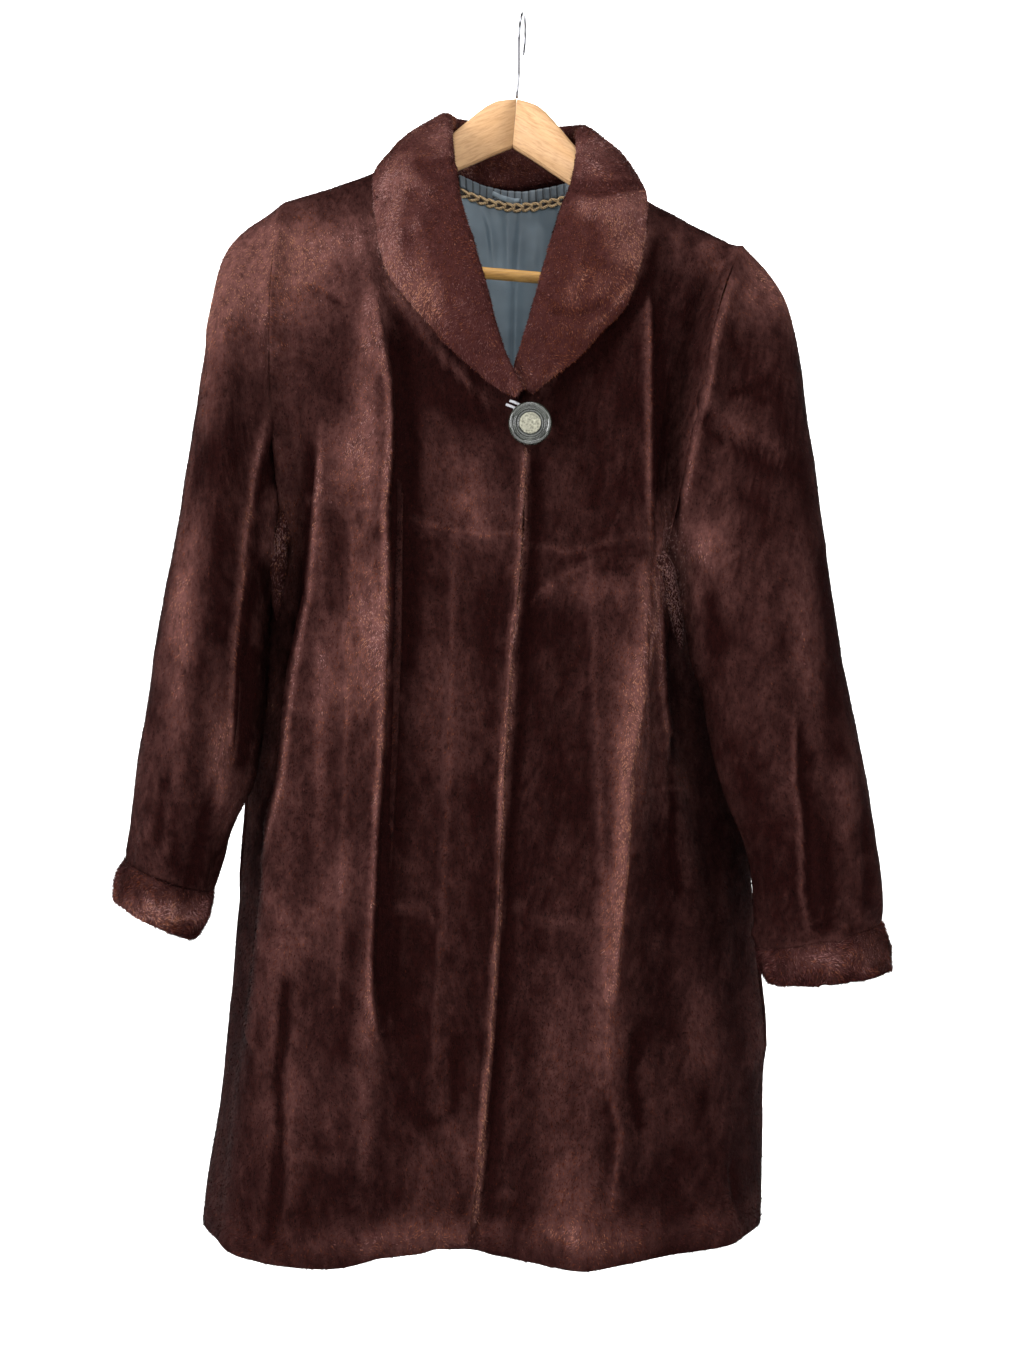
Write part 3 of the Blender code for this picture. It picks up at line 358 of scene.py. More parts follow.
NAP_AND_PAINTED_LIGHT_PATCHES = (
    # lighter where the nap lies towards the light, with painted light on lit shoulders, sides and bulges and
    # painted shade in the collar's hollows where strength is below zero: x, z, half width, half height (mm),
    # lean, strength
    (-128, -330, 14, 95, 0.05, 0.75),
    (-150, -395, 22, 38, 0.10, 0.42),
    (-128, -520, 18, 90, 0.00, 0.80),
    (-160, -560, 28, 48, 0.00, 0.45),
    (-45, -425, 22, 40, -0.20, 0.55),
    (-4, -500, 6, 80, 0.05, 0.55),
    (-14, -640, 7, 90, 0.05, 0.55),
    (96, -560, 16, 70, 0.05, 0.95),
    (80, -690, 14, 90, 0.12, 0.80),
    (70, -830, 14, 80, 0.10, 0.45),
    (50, -500, 40, 12, 0.00, 0.40),
    (118, -470, 14, 40, 0.00, 0.80),
    (-205, -800, 20, 70, 0.10, 0.48),
    (-160, -760, 20, 40, 0.20, 0.45),
    (-190, -930, 30, 50, 0.15, 0.40),
    (-130, -880, 10, 120, 0.03, 0.40),
    (-60, -980, 30, 50, -0.10, 0.30),
    (40, -1010, 26, 40, 0.10, 0.40),
    (150, -900, 26, 70, 0.00, 0.25),
    (-110, -1035, 90, 14, 0.00, 0.45),
    (100, -1035, 90, 14, 0.00, 0.40),
    (-215, -260, 20, 60, 0.05, 0.60),
    (-262, -300, 12, 130, 0.08, 0.55),
    (-280, -520, 14, 90, 0.05, 0.80),
    (-250, -640, 10, 60, 0.00, 0.75),
    (-300, -640, 18, 70, 0.05, 0.45),
    (-305, -770, 36, 12, 0.00, 0.60),
    (215, -255, 34, 34, 0.00, 0.60),
    (170, -370, 30, 30, 0.20, 0.30),
    (150, -480, 24, 50, 0.00, 0.70),
    (230, -560, 16, 90, -0.10, 0.40),
    (270, -700, 12, 70, -0.10, 0.40),
    (262, -805, 34, 14, 0.00, 0.55),
    (-100, -160, 24, 56, 0.20, 0.60),
    (-108, -215, 20, 56, -0.10, 0.50),
    (-60, -130, 16, 20, 0.00, 0.50),
    (-78, -152, 16, 10, 0.00, -0.40),
    (-66, -215, 12, 34, -0.10, -0.28),
    (-54, -300, 16, 16, 0.00, -0.25),
    (66, -232, 16, 18, 0.00, -0.34),
    (40, -305, 22, 13, -0.30, -0.45),
    (92, -146, 14, 10, 0.00, -0.30),
    (-112, -195, 10, 34, 0.05, 0.30),
    (100, -185, 8, 24, 0.00, 0.35),
    (84, -222, 14, 12, 0.00, 0.30),
    (150, -206, 46, 22, 0.00, 0.50),
    (196, -236, 40, 34, 0.10, 0.50),
    (-150, -206, 46, 22, 0.00, 0.50),
    (-206, -214, 40, 22, 0.00, 0.50),
    (52, -132, 16, 20, 0.00, 0.50),
    (-190, -232, 44, 46, 0.00, 0.65),
    (-246, -235, 26, 56, 0.10, 0.75),
    (-206, -450, 20, 80, 0.10, 0.45),
    (-212, -600, 22, 110, 0.00, 0.45),
    (132, -600, 20, 120, 0.00, 0.30),
    (-170, -560, 6, 130, 0.00, 0.40),
    (-60, -620, 26, 70, 0.00, 0.22),
    (20, -900, 24, 90, 0.10, 0.20),
    (-70, -270, 22, 26, -0.60, 0.35),
    (92, -180, 18, 40, 0.10, 0.50),
    (60, -245, 26, 30, 0.50, 0.35),
)


PLEAT_FALL = 2.6
HOLLOW_FROM = 3.6
HOLLOW_REACH = 1.4
HOLLOW_DEPTH = 0.8


def shown_on(face, facing):
    """From 0 to 1: how far a point belongs to the front (-1) or the back (1)."""
    return np.clip((facing[:, 1] * face + 0.35) / 0.45, 0, 1)


def form_height(points, facing, forms):
    """How far the forms lift the fur, in metres, and the painted light and shade they put on it: lighter on
    ridges and crests, darker in grooves and beside the pleats' falls.
    """
    height, light = np.zeros(len(points)), np.zeros(len(points))
    for _, face, kind, width, most, stroke in forms:
        shown = shown_on(face, facing)
        off = along_stroke(points, stroke)
        if kind in ("groove", "ridge"):
            near = np.exp(-((off / width) ** 2)) * (1 if kind == "ridge" else -1)
            height += shown * most * near
            # Painted light and shade: ridges lighter, grooves darker.
            light += shown * 0.055 * most * near * (1 if kind == "ridge" else 1.8)
            continue
        off = off if kind == "right" else -off
        ends = [p[1] for p in stroke]
        whole = np.clip((max(ends) + 10 - points[:, 2] * 1000) / 40, 0, 1)
        whole = whole * np.clip((points[:, 2] * 1000 - min(ends) + 10) / 40, 0, 1)
        rise = np.exp(-((off / width) ** 2))
        fall = np.exp(-((off / PLEAT_FALL) ** 2))
        hollow = np.exp(-((off / (HOLLOW_REACH * width)) ** 2))
        hollow = HOLLOW_DEPTH * hollow * (1 - np.exp(-((off / HOLLOW_FROM) ** 2)))
        height += shown * whole * np.where(off < 0, rise, fall - hollow) * most
        # Painted highlight along the pleat's crest, painted shade beside its fall.
        crest = np.exp(-(((off + 1.5) / 3.0) ** 2))
        shade = (off > 0) * np.exp(-(((off - 5) / 9.0) ** 2))
        light += shown * whole * (0.10 * crest - 0.055 * shade) * most * (1 if face < 0 else 0.5)
    return height * 0.001, light


PAINTED_LIGHT_LINES = (
    # painted highlights on edges, crests and bulges, and painted shade under laps and in creases: what it
    # is, width (mm), how much lighter, its line (x, z in mm)
    ("front edge", 2.3, 1.90,
     ((1, -387), (-1, -423), (-2, -460), (-5, -497), (-6, -518), (-11, -555), (-12, -594),
      (-16, -634), (-20, -667), (-19, -682), (-20, -720), (-21, -775), (-24, -806), (-26, -841),
      (-28, -873), (-33, -922), (-35, -962), (-41, -1025))),
    ("shadow under the lap", 6.0, -0.35,
     ((8, -400), (5, -470), (0, -540), (-6, -620), (-12, -700), (-16, -800), (-24, -900),
      (-30, -1020))),
    ("main pleat's crest", 4.0, 0.40,
     ((-118, -299), (-112, -339), (-112, -392), (-115, -435), (-114, -487), (-116, -539),
      (-117, -627), (-121, -690))),
    ("left fold's crest", 4.0, 0.40, ((100, -480), (98, -545), (92, -600), (84, -654), (80, -737))),
    ("left armhole", 4.0, 0.35, ((166, -262), (157, -295), (152, -330), (142, -368), (134, -420))),
    ("right lapel's edge", 3.0, 0.35, ((-126, -190), (-112, -246), (-80, -296), (-34, -344))),
    ("left lapel's edge", 3.0, 0.30, ((104, -200), (90, -250), (60, -282), (28, -322), (4, -350))),
    ("shadow under the right lapel", 5.0, -0.35, ((-134, -200), (-118, -256), (-84, -306), (-36, -354))),
    ("shadow under the left lapel", 6.0, -0.40, ((112, -206), (98, -258), (66, -292), (30, -330))),
    ("left lapel's crease", 5.5, -0.75, ((42, -166), (62, -170), (80, -166), (96, -161))),
    ("left lapel's bulge", 9.0, 0.30, ((50, -184), (70, -192), (88, -186))),
    ("left lapel's lower crease", 5.5, -0.80, ((27, -277), (46, -280), (66, -269))),
    ("right lapel's hollow", 9.0, -0.28, ((-84, -147), (-70, -150), (-56, -146))),
    ("right lapel's top", 8.0, 0.30, ((-78, -118), (-64, -112), (-54, -116))),
    ("left lapel's top", 8.0, 0.30, ((44, -126), (56, -122), (72, -130))),
    ("right lapel's fall", 9.0, -0.22, ((-52, -190), (-46, -240), (-30, -290))),
    ("left lapel's fall", 9.0, -0.25, ((36, -200), (28, -250), (14, -300))),
)


def tone_and_painted_light_at(points, facing, forms):
    """The fur's lightness at each point, from 0 to 1: its own tone, its nap and the pelts' joins, with
    painted light and shade from the lines, patches and forms.
    """
    cloud = lattice(points * (1, 1, 0.45), 0.030, 5) + 0.7 * lattice(points * (1, 1, 0.7), 0.010, 6)
    front = shown_on(-1, facing)
    light = 0.052 + 0.10 * cloud + 0.09 * lattice(points, 0.0024, 7) + 0.06 * lattice(points, 0.0052, 8)
    # Painted highlights and painted shade along the listed lines, on the front only.
    for _, wide, strength, stroke in PAINTED_LIGHT_LINES:
        near = np.exp(-((along_stroke(points, stroke) / wide) ** 2))
        light = light + strength * near * front * (0.9 + 0.5 * cloud)
    x, z = points[:, 0] * 1000, points[:, 2] * 1000
    # Nap patches, with painted light on lit parts and painted shade in the collar's hollows.
    for px, pz, wide, high, lean, strength in NAP_AND_PAINTED_LIGHT_PATCHES:
        away = ((x - px - lean * (z - pz)) / wide) ** 2 + ((z - pz) / high) ** 2
        light = light + strength * np.exp(-away) * front * (0.9 + 0.5 * cloud)
    for face, stroke in PELT_JOINS:
        off = along_stroke(points, stroke)
        light = light + (facing[:, 1] * face > 0.15) * 0.22 * np.exp(-(((off - 4.5) / 2.6) ** 2))
    return np.clip(light + form_height(points, facing, forms)[1], 0, 1)


WARM_PATCHES = (
    # where the fur is browner than elsewhere: x, z, half width, half height (mm), strength
    (215, -262, 44, 60, 1.2),
    (180, -232, 40, 30, 0.9),
    (-264, -270, 24, 110, 0.9),
    (-235, -215, 30, 26, 0.7),
    (-196, -240, 30, 30, 0.5),
    (-146, -600, 14, 120, 0.6),
    (-60, -640, 34, 150, 0.8),
    (-62, -880, 40, 120, 0.7),
    (60, -620, 34, 120, 0.7),
    (60, -380, 30, 60, 0.5),
    (40, -940, 60, 80, 0.6),
    (-66, -420, 24, 50, 0.5),
    (190, -330, 16, 50, 0.6),
)


def warmth_at(points):
    """How brown, and not pink, the fur's light side is at each point, from about -1 to 1."""
    x, z = points[:, 0] * 1000, points[:, 2] * 1000
    warmth = 0.45 * lattice(points * (1, 1, 0.5), 0.045, 17) + 0.25 * lattice(points, 0.012, 18) + 0.02
    for px, pz, wide, high, strength in WARM_PATCHES:
        warmth = warmth + strength * np.exp(-(((x - px) / wide) ** 2) - ((z - pz) / high) ** 2)
    return warmth


def rows_of(parts, field, wide, kind=np.float32):
    """A field of a mesh's vertices or triangles, with one row for each of them."""
    found = np.empty(len(parts) * wide, kind)
    parts.foreach_get(field, found)
    return found.reshape(-1, wide)


def points_of(mesh):
    return rows_of(mesh.vertices, "co", 3, float)


def sew_on(name, mesh, finish, slot, *nodes):
    """Puts a mesh in the scene with its finish, in place of the nodes named."""
    if finish:
        mesh.materials.append(finish)
    piece = bpy.data.objects.new(name, mesh)
    coat_scene.collection.objects.link(piece)
    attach(piece, "root")
    if nodes:
        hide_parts(*nodes)
    return piece


ARMHOLE_REACH = 0.125
ARMHOLE_FOOT = -0.52


def mark_inside(skin, middle):
    """Inside faces turn to the middle, and look across the hollow at another inside face.

    Round the armholes the wall is fur on both sides, because its edge shows beside the sleeve.
    """
    centres = np.array([face.center for face in skin.polygons])
    facing = np.array([face.normal for face in skin.polygons])
    turned_in = (facing * away_from(middle, centres)).sum(axis=1) < -0.3
    turned_in &= (np.abs(centres[:, 0] + 0.030) < ARMHOLE_REACH) | (centres[:, 2] < ARMHOLE_FOOT)
    for k in np.flatnonzero(turned_in):
        start = centres[k] + 0.003 * facing[k]
        place, seen, _, _ = body_walls.ray_cast(start.tolist(), facing[k].tolist())
        if place is not None and seen.dot(away_from(middle, np.array([place]))[0].tolist()) < -0.2:
            skin.polygons[int(k)].material_index = 1


def finer_by_forms(skin, forms):
    """Splits the outer faces beside the sharp forms, so that the skin can bend there."""
    build = bmesh.new()
    build.from_mesh(skin)
    middles = np.array([(edge.verts[0].co + edge.verts[1].co) / 2 for edge in build.edges])
    turned = np.array([edge.verts[0].normal.y for edge in build.edges])
    close = np.zeros(len(middles), bool)
    for _, face, kind, width, _, stroke in forms:
        if kind in ("right", "left") or width < 5:
            close |= (np.abs(along_stroke(middles, stroke)) < 9) & (turned * face > -0.2)
    outer = [all(face.material_index == 0 for face in edge.link_faces) for edge in build.edges]
    split = [edge for edge, near, out in zip(build.edges, close, outer) if near and out]
    if split:
        bmesh.ops.subdivide_edges(build, edges=split, cuts=1, use_grid_fill=True)
    build.to_mesh(skin)
    build.free()


SHARP_TURN = math.radians(50)
RIM_CREASE = 0.45


def finer_skin(node, slot, middle, forms, lumps):
    """The node's wall, rounded and given its folds and creases. Returns its new object.

    `middle` is the line that the piece wraps round, and its outside turns away from it.
    """
    build = bmesh.new()
    build.from_mesh(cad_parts[node].data)
    bmesh.ops.remove_doubles(build, verts=build.verts, dist=2e-6)
    bmesh.ops.join_triangles(
        build,
        faces=build.faces,
        angle_face_threshold=SHARP_TURN,
        angle_shape_threshold=math.radians(80),
    )
    crease = build.edges.layers.float.new("crease_edge")
    for edge in build.edges:
        if len(edge.link_faces) == 2 and edge.calc_face_angle(0) > SHARP_TURN:
            edge[crease] = RIM_CREASE
    cage = bpy.data.meshes.new(node + "_cage")
    build.to_mesh(cage)
    build.free()
    holder = bpy.data.objects.new(node + "_cage", cage)
    coat_scene.collection.objects.link(holder)
    rounded = holder.modifiers.new("rounded", "SUBSURF")
    rounded.levels = rounded.render_levels = 2
    wanted = points_of(cage)
    for again in (True, True, True, False):
        # The cage is let out until the rounded skin passes through the solid's own corners.
        skin = bpy.data.meshes.new_from_object(
            holder.evaluated_get(bpy.context.evaluated_depsgraph_get())
        )
        short = wanted - points_of(skin)[: len(wanted)]
        if again:
            cage.vertices.foreach_set("co", (points_of(cage) + short).ravel())
            cage.update()
            bpy.data.meshes.remove(skin)
    bpy.data.objects.remove(holder, do_unlink=True)
    skin.name = node + "_skin"
    if middle == BODY_MIDDLE:
        mark_inside(skin, middle)
    finer_by_forms(skin, forms)
    points = points_of(skin)
    normals = rows_of(skin.vertices, "normal", 3).astype(float)
    outward = away_from(middle, points) if middle else normals
    lifted = form_height(points, outward, forms)[0]
    lifted += lumps * 0.0012 * lattice(points * (1, 1, 0.35), 0.032, 11)
    lifted += lumps * (0.0008 * lattice(points, 0.050, 13) + 0.0005 * lattice(points, 0.014, 12))
    if middle:
        # The inside keeps clear of the outside's grooves, and doesn't follow its ridges.
        within = (normals * outward).sum(axis=1) < -0.05
        lifted[within] = 0.3 * np.abs(lifted[within]) - np.minimum(lifted[within], 0)
    points += normals * lifted[:, None]
    skin.vertices.foreach_set("co", points.ravel())
    skin.update()
    # The attribute carries the fur's tone with painted light and shade.
    nap = skin.attributes.new("nap", "FLOAT", "POINT")
    nap.data.foreach_set("value", tone_and_painted_light_at(points, normals, forms).astype(np.float32))
    skin.shade_smooth()
    return sew_on(node + "_skin", skin, None, slot, node)


def away_from(middle, points):
    """Unit directions, level or nearly so, from a middle line of (x, y, z) rows to the points."""
    line = np.array(middle, float) * 0.001
    order = np.argsort(line[:, 2])
    line = line[order]
    centre = np.stack(
        [np.interp(points[:, 2], line[:, 2], line[:, k]) for k in range(2)], axis=1
    )
    away = np.zeros((len(points), 3))
    away[:, :2] = points[:, :2] - centre
    return away / np.maximum(np.linalg.norm(away, axis=1), 1e-9)[:, None]


BODY_MIDDLE = ((-14, 4, -120), (-30, 4, -450), (-35, 5, -1060))
fur_finish = sheared_fur("sheared_fur", 0.85)
lining_finish = satin("lining_satin", (0.250, 0.335, 0.400), (0.085, 0.120, 0.150))
PANELS = ("back", "front_right", "front_left")


def line_inside(piece):
    """The wall's outside is fur, and its inside is faced with the lining."""
    piece.data.materials.append(fur_finish)
    piece.data.materials.append(lining_finish)


wall_points, wall_faces = [], []
for node in PANELS:
    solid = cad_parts[node].data
    wall_faces += [[len(wall_points) + k for k in face.vertices] for face in solid.polygons]
    wall_points += [vertex.co.copy() for vertex in solid.vertices]
body_walls = BVHTree.FromPolygons(wall_points, wall_faces)
skins, forms_of = {}, {}
for node in PANELS:
    forms_of[node] = BACK_FORMS if node == "back" else FRONT_FORMS
    skins[node] = finer_skin(node, "fur", BODY_MIDDLE, forms_of[node], 1.0)
    line_inside(skins[node])



# ------------------------------------------------------------------ the sleeves and their cuffs
# Full one-piece fur sleeves, set into the armholes and gathered into narrow cuffs. The cuffs
# are straight bands of the same fur, left curlier.
SLEEVES = {
    # the line up the middle of each sleeve: x, y, z in mm
    "right": ((-226, -17, -185), (-238, -18, -300), (-243, -22, -420), (-258, -28, -520),
              (-283, -31, -645), (-303, -32, -740), (-311, -32, -800)),
    "left": ((203, -14, -222), (204, -18, -262), (198, -28, -380), (200, -40, -500),
             (222, -46, -630), (252, -45, -740), (262, -42, -850)),
}
SLEEVE_FORMS = {
    "right": (
        # what it is, front -1 or back 1, kind, width, height or depth (mm), its line
        ("front fold", -1, "right", 14, 6.0,
         ((-211, -354), (-221, -401), (-228, -453), (-232, -505), (-237, -557), (-239, -600),
          (-242, -643))),
        ("underarm roll", -1, "ridge", 6, 3.4,
         ((-212, -420), (-215, -440), (-214, -466), (-210, -480))),
        ("elbow puff", -1, "ridge", 7, 2.6, ((-222, -466), (-214, -470))),
        ("dark hollow", -1, "groove", 8, 3.4, ((-230, -560), (-232, -600), (-238, -650))),
        ("outer swell", -1, "ridge", 12, 2.2, ((-248, -227), (-253, -286), (-259, -361))),
        ("outer dent", -1, "groove", 12, 2.6, ((-266, -300), (-270, -400), (-278, -480))),
        ("level dent at the elbow", -1, "groove", 8, 2.0,
         ((-292, -560), (-276, -570), (-262, -566))),
        ("lower ridge", -1, "ridge", 7, 2.6, ((-271, -594), (-280, -644), (-285, -701))),
        ("gather", -1, "groove", 5, 3.0, ((-294, -661), (-302, -711))),
        ("inner gather", -1, "groove", 5, 3.0, ((-257, -669), (-267, -710), (-276, -743))),
        ("middle gather", -1, "groove", 5, 2.6, ((-284, -680), (-288, -730))),
        ("back fold", 1, "left", 14, 3.4,
         ((-222, -400), (-232, -480), (-244, -570), (-256, -640))),
        ("slanting dent", 1, "groove", 8, 2.6, ((-290, -500), (-270, -540), (-250, -560))),
        ("outer dent", 1, "groove", 12, 2.6, ((-268, -320), (-276, -420), (-286, -500))),
        ("back gather", 1, "groove", 5, 3.0, ((-280, -670), (-292, -720))),
        ("outer back gather", 1, "groove", 5, 3.0, ((-306, -680), (-312, -730))),
    ),
    "left": (
        ("armhole's edge", -1, "left", 12, 4.0,
         ((174, -240), (166, -262), (157, -295), (153, -330), (143, -368), (134, -420),
          (130, -466))),
        ("slanting fold", -1, "ridge", 6, 3.4, ((147, -340), (164, -361), (192, -382), (212, -391))),
        ("trough below it", -1, "groove", 8, 4.0, ((150, -362), (168, -380), (194, -402))),
        ("crossing crease", -1, "groove", 4, 2.4, ((175, -340), (188, -337), (199, -331))),
        ("crossing crease's arm", -1, "groove", 4, 2.0, ((186, -338), (196, -348))),
        ("underarm roll", -1, "ridge", 6, 3.6, ((138, -452), (146, -462), (150, -480))),
        ("slant below it", -1, "groove", 6, 3.6, ((144, -479), (154, -512), (158, -553))),
        ("rippled ridge", -1, "ridge", 9, 2.2, ((193, -480), (195, -545), (201, -627), (211, -676))),
        ("lower groove", -1, "right", 7, 3.6,
         ((220, -602), (219, -661), (224, -688), (227, -751), (235, -786))),
        ("lower ridge", -1, "ridge", 8, 2.6, ((260, -611), (262, -677), (261, -736), (259, -789))),
        ("gather", -1, "groove", 5, 3.0, ((246, -720), (250, -780))),
        ("outer gather", -1, "groove", 5, 3.0, ((280, -700), (284, -760))),
        ("outer dent", -1, "groove", 10, 2.2, ((246, -480), (254, -560), (258, -640))),
        ("back fold", 1, "right", 14, 3.4,
         ((150, -420), (160, -500), (176, -590), (196, -660))),
        ("slanting dent", 1, "groove", 8, 2.6, ((220, -430), (200, -470), (176, -490))),
        ("outer dent", 1, "groove", 12, 2.4, ((230, -340), (244, -440), (256, -560))),
        ("back gather", 1, "groove", 5, 3.0, ((230, -710), (236, -770))),
        ("outer back gather", 1, "groove", 5, 3.0, ((270, -710), (276, -770))),
    ),
}
curly_finish = sheared_fur("curly_fur", 1.0)
for side, middle in SLEEVES.items():
    sleeve, cuff = "sleeve_" + side, "cuff_" + side
    forms_of[sleeve], forms_of[cuff] = SLEEVE_FORMS[side], ()
    skins[sleeve] = finer_skin(sleeve, "fur", middle, forms_of[sleeve], 1.0)
    skins[sleeve].data.materials.append(fur_finish)
    skins[cuff] = finer_skin(cuff, "curly_fur", middle, (), 1.6)
    skins[cuff].data.materials.append(curly_finish)

UNDERARM_ROLLS = {
    # the seam's fur rolls out at the foot of each armhole: x, y, z and half thickness in mm
    "right": ((-193, -30, -408, 0.6), (-201, -30, -432, 6), (-209, -27, -458, 8),
              (-213, -18, -482, 8), (-214, -8, -510, 5), (-215, -2, -526, 0.6)),
    "left": ((108, -40, -460, 0.6), (113, -46, -472, 7), (118, -45, -483, 8),
             (126, -26, -502, 7), (133, -4, -528, 6), (137, 2, -550, 0.6)),
}
ROLL_AROUND = 20
ROLL_RINGS = 25
for side, stops in UNDERARM_ROLLS.items():
    node = "underarm_" + side
    build = bmesh.new()
    rings = []
    share = np.linspace(0, len(stops) - 1, ROLL_RINGS)
    for x, y, z, half in zip(*(np.interp(share, range(len(stops)), row) for row in zip(*stops))):
        ring = []
        for turn in np.linspace(0, 2 * math.pi, ROLL_AROUND, endpoint=False):
            lump = half * (1 + 0.12 * math.sin(3 * turn + z / 6))
            ring.append(
                build.verts.new(
                    ((x + lump * math.cos(turn)) / 1000, (y + lump * math.sin(turn)) / 1000, z / 1000)
                )
            )
        rings.append(ring)
    for above, below in zip(rings, rings[1:]):
        for k in range(ROLL_AROUND):
            n = (k + 1) % ROLL_AROUND
            build.faces.new((above[k], below[k], below[n], above[n]))
    build.faces.new(rings[0])
    build.faces.new(rings[-1][::-1])
    bmesh.ops.recalc_face_normals(build, faces=build.faces)
    roll = bpy.data.meshes.new(node + "_roll")
    build.to_mesh(roll)
    build.free()
    roll.shade_smooth()
    nap = roll.attributes.new("nap", "FLOAT", "POINT")
    nap.data.foreach_set("value", np.full(len(roll.vertices), 0.2, np.float32))
    skins[node] = sew_on(node + "_roll", roll, fur_finish, "fur")
    forms_of[node] = ()


# ------------------------------------------------------------------ the collar
# A shawl collar of the same fur, cut in one with its roll, standing round the back of the neck
# and falling in a wide soft lapel on each side down to the button.
forms_of["collar"] = (
    ("left lapel's turn", -1, "groove", 4.5, 4.0, ((42, -164), (62, -167), (80, -164), (96, -160))),
    ("left lapel's bulge", -1, "ridge", 10, 2.4, ((50, -180), (70, -188), (88, -184))),
    ("left lapel's lower crease", -1, "groove", 4, 2.8, ((27, -276), (46, -279), (66, -268))),
    ("fold at the breast", -1, "ridge", 6, 2.4, ((24, -286), (44, -288), (60, -280))),
    ("left lapel's upright dent", -1, "groove", 8, 2.0, ((60, -200), (58, -235), (50, -262))),
    ("right lapel's dent", -1, "groove", 8, 3.2, ((-84, -146), (-70, -149), (-56, -145))),
    ("right lapel's upright crease", -1, "groove", 6, 2.2, ((-95, -171), (-99, -200), (-97, -229))),
    ("right lapel's swell", -1, "ridge", 10, 1.8, ((-108, -170), (-110, -200), (-104, -240))),
    ("notch in the edge", -1, "groove", 3.5, 4.4, ((-126, -170), (-117, -174))),
    ("right lapel's lower dent", -1, "groove", 8, 2.0, ((-64, -262), (-52, -290), (-36, -312))),
    ("dent behind the neck", 1, "groove", 9, 2.6, ((-62, -112), (-30, -120), (0, -116))),
    ("second dent behind the neck", 1, "groove", 8, 2.2, ((20, -130), (50, -122), (72, -112))),
)
skins["collar"] = finer_skin("collar", "fur", None, forms_of["collar"], 1.3)
collar_finish = sheared_fur("collar_fur", 1.0, (0.018, 0.0048, 0.0045), (0.066, 0.0210, 0.0185))
skins["collar"].data.materials.append(collar_finish)


# ------------------------------------------------------------------ the pile
# Thousands of fine cut hairs lie over each other down the coat. They are short and silky, lean
# with the nap, curl at the cuffs and hem, and part a little at the pelts' joins.
HAIR_TONES = (
    # from the darkest hairs to the lightest, on the pelts' plum side and on their brown side; the darker and
    # lighter ones also carry painted shade and painted highlights
    ((0.0045, 0.0010, 0.0011), (0.0045, 0.0010, 0.0007)),
    ((0.0095, 0.0020, 0.0020), (0.0105, 0.0021, 0.0013)),
    ((0.0185, 0.0040, 0.0039), (0.0220, 0.0043, 0.0023)),
    ((0.0360, 0.0095, 0.0090), (0.0450, 0.0095, 0.0047)),
    ((0.0720, 0.0243, 0.0229), (0.0880, 0.0225, 0.0108)),
    ((0.1400, 0.0594, 0.0558), (0.1600, 0.0522, 0.0279)),
    ((0.2700, 0.1404, 0.1305), (0.2800, 0.1215, 0.0765)),
)
TONE_STEPS = (0.06, 0.20, 0.34, 0.50, 0.68, 0.90)
PILES = (
    # node, hairs, length (mm), width (mm), lift, curl, how much lighter
    ("back", 116000, 2.9, 0.80, 0.40, 0.60, 0.02),
    ("front_right", 125000, 2.8, 0.75, 0.40, 0.60, 0.02),
    ("front_left", 115000, 2.8, 0.75, 0.40, 0.60, 0.00),
    ("sleeve_right", 80000, 2.8, 0.75, 0.40, 0.60, 0.02),
    ("sleeve_left", 80000, 2.8, 0.75, 0.40, 0.60, 0.00),
    ("underarm_right", 3600, 2.4, 0.65, 0.40, 0.50, 0.24),
    ("underarm_left", 3600, 2.4, 0.65, 0.40, 0.50, 0.52),
    ("collar", 90000, 2.9, 0.70, 0.50, 1.00, 0.56),
    ("cuff_right", 16000, 3.8, 0.62, 0.65, 1.80, 0.30),
    ("cuff_left", 16000, 3.8, 0.62, 0.65, 1.80, 0.30),
)
# The hem's fur is curlier and stands up more, from this height down, in metres.
HEM_FROM = -0.985
HEM_DEEP = 0.06
hair_finishes = []
for side in (0, 1):
    for step, colours in enumerate(HAIR_TONES):
        hair = Finish(
            ("plum_hair_", "brown_hair_")[side] + str(step),
            Base_Color=colours[side],
            Roughness=0.65 - 0.03 * step,
            Specular_IOR_Level=0.03,
            Sheen_Weight=0.01 * max(0, step - 3),
            Sheen_Tint=(1.0, 0.60, 0.52),
        )
        hair_finishes.append(hair.material)


def join_nearness(points, facing):
    """How close each point is to a join between pelts, from 0 to 1."""
    near = np.zeros(len(points))
    wander = 0.0012 * lattice(points, 0.012, 21)
    for face, stroke in PELT_JOINS:
        shown = facing[:, 1] * face > 0.15
        away = along_stroke((points + wander[:, None])[shown], stroke)
        near[shown] = np.maximum(near[shown], np.exp(-((away / 1.5) ** 2)))
    return near


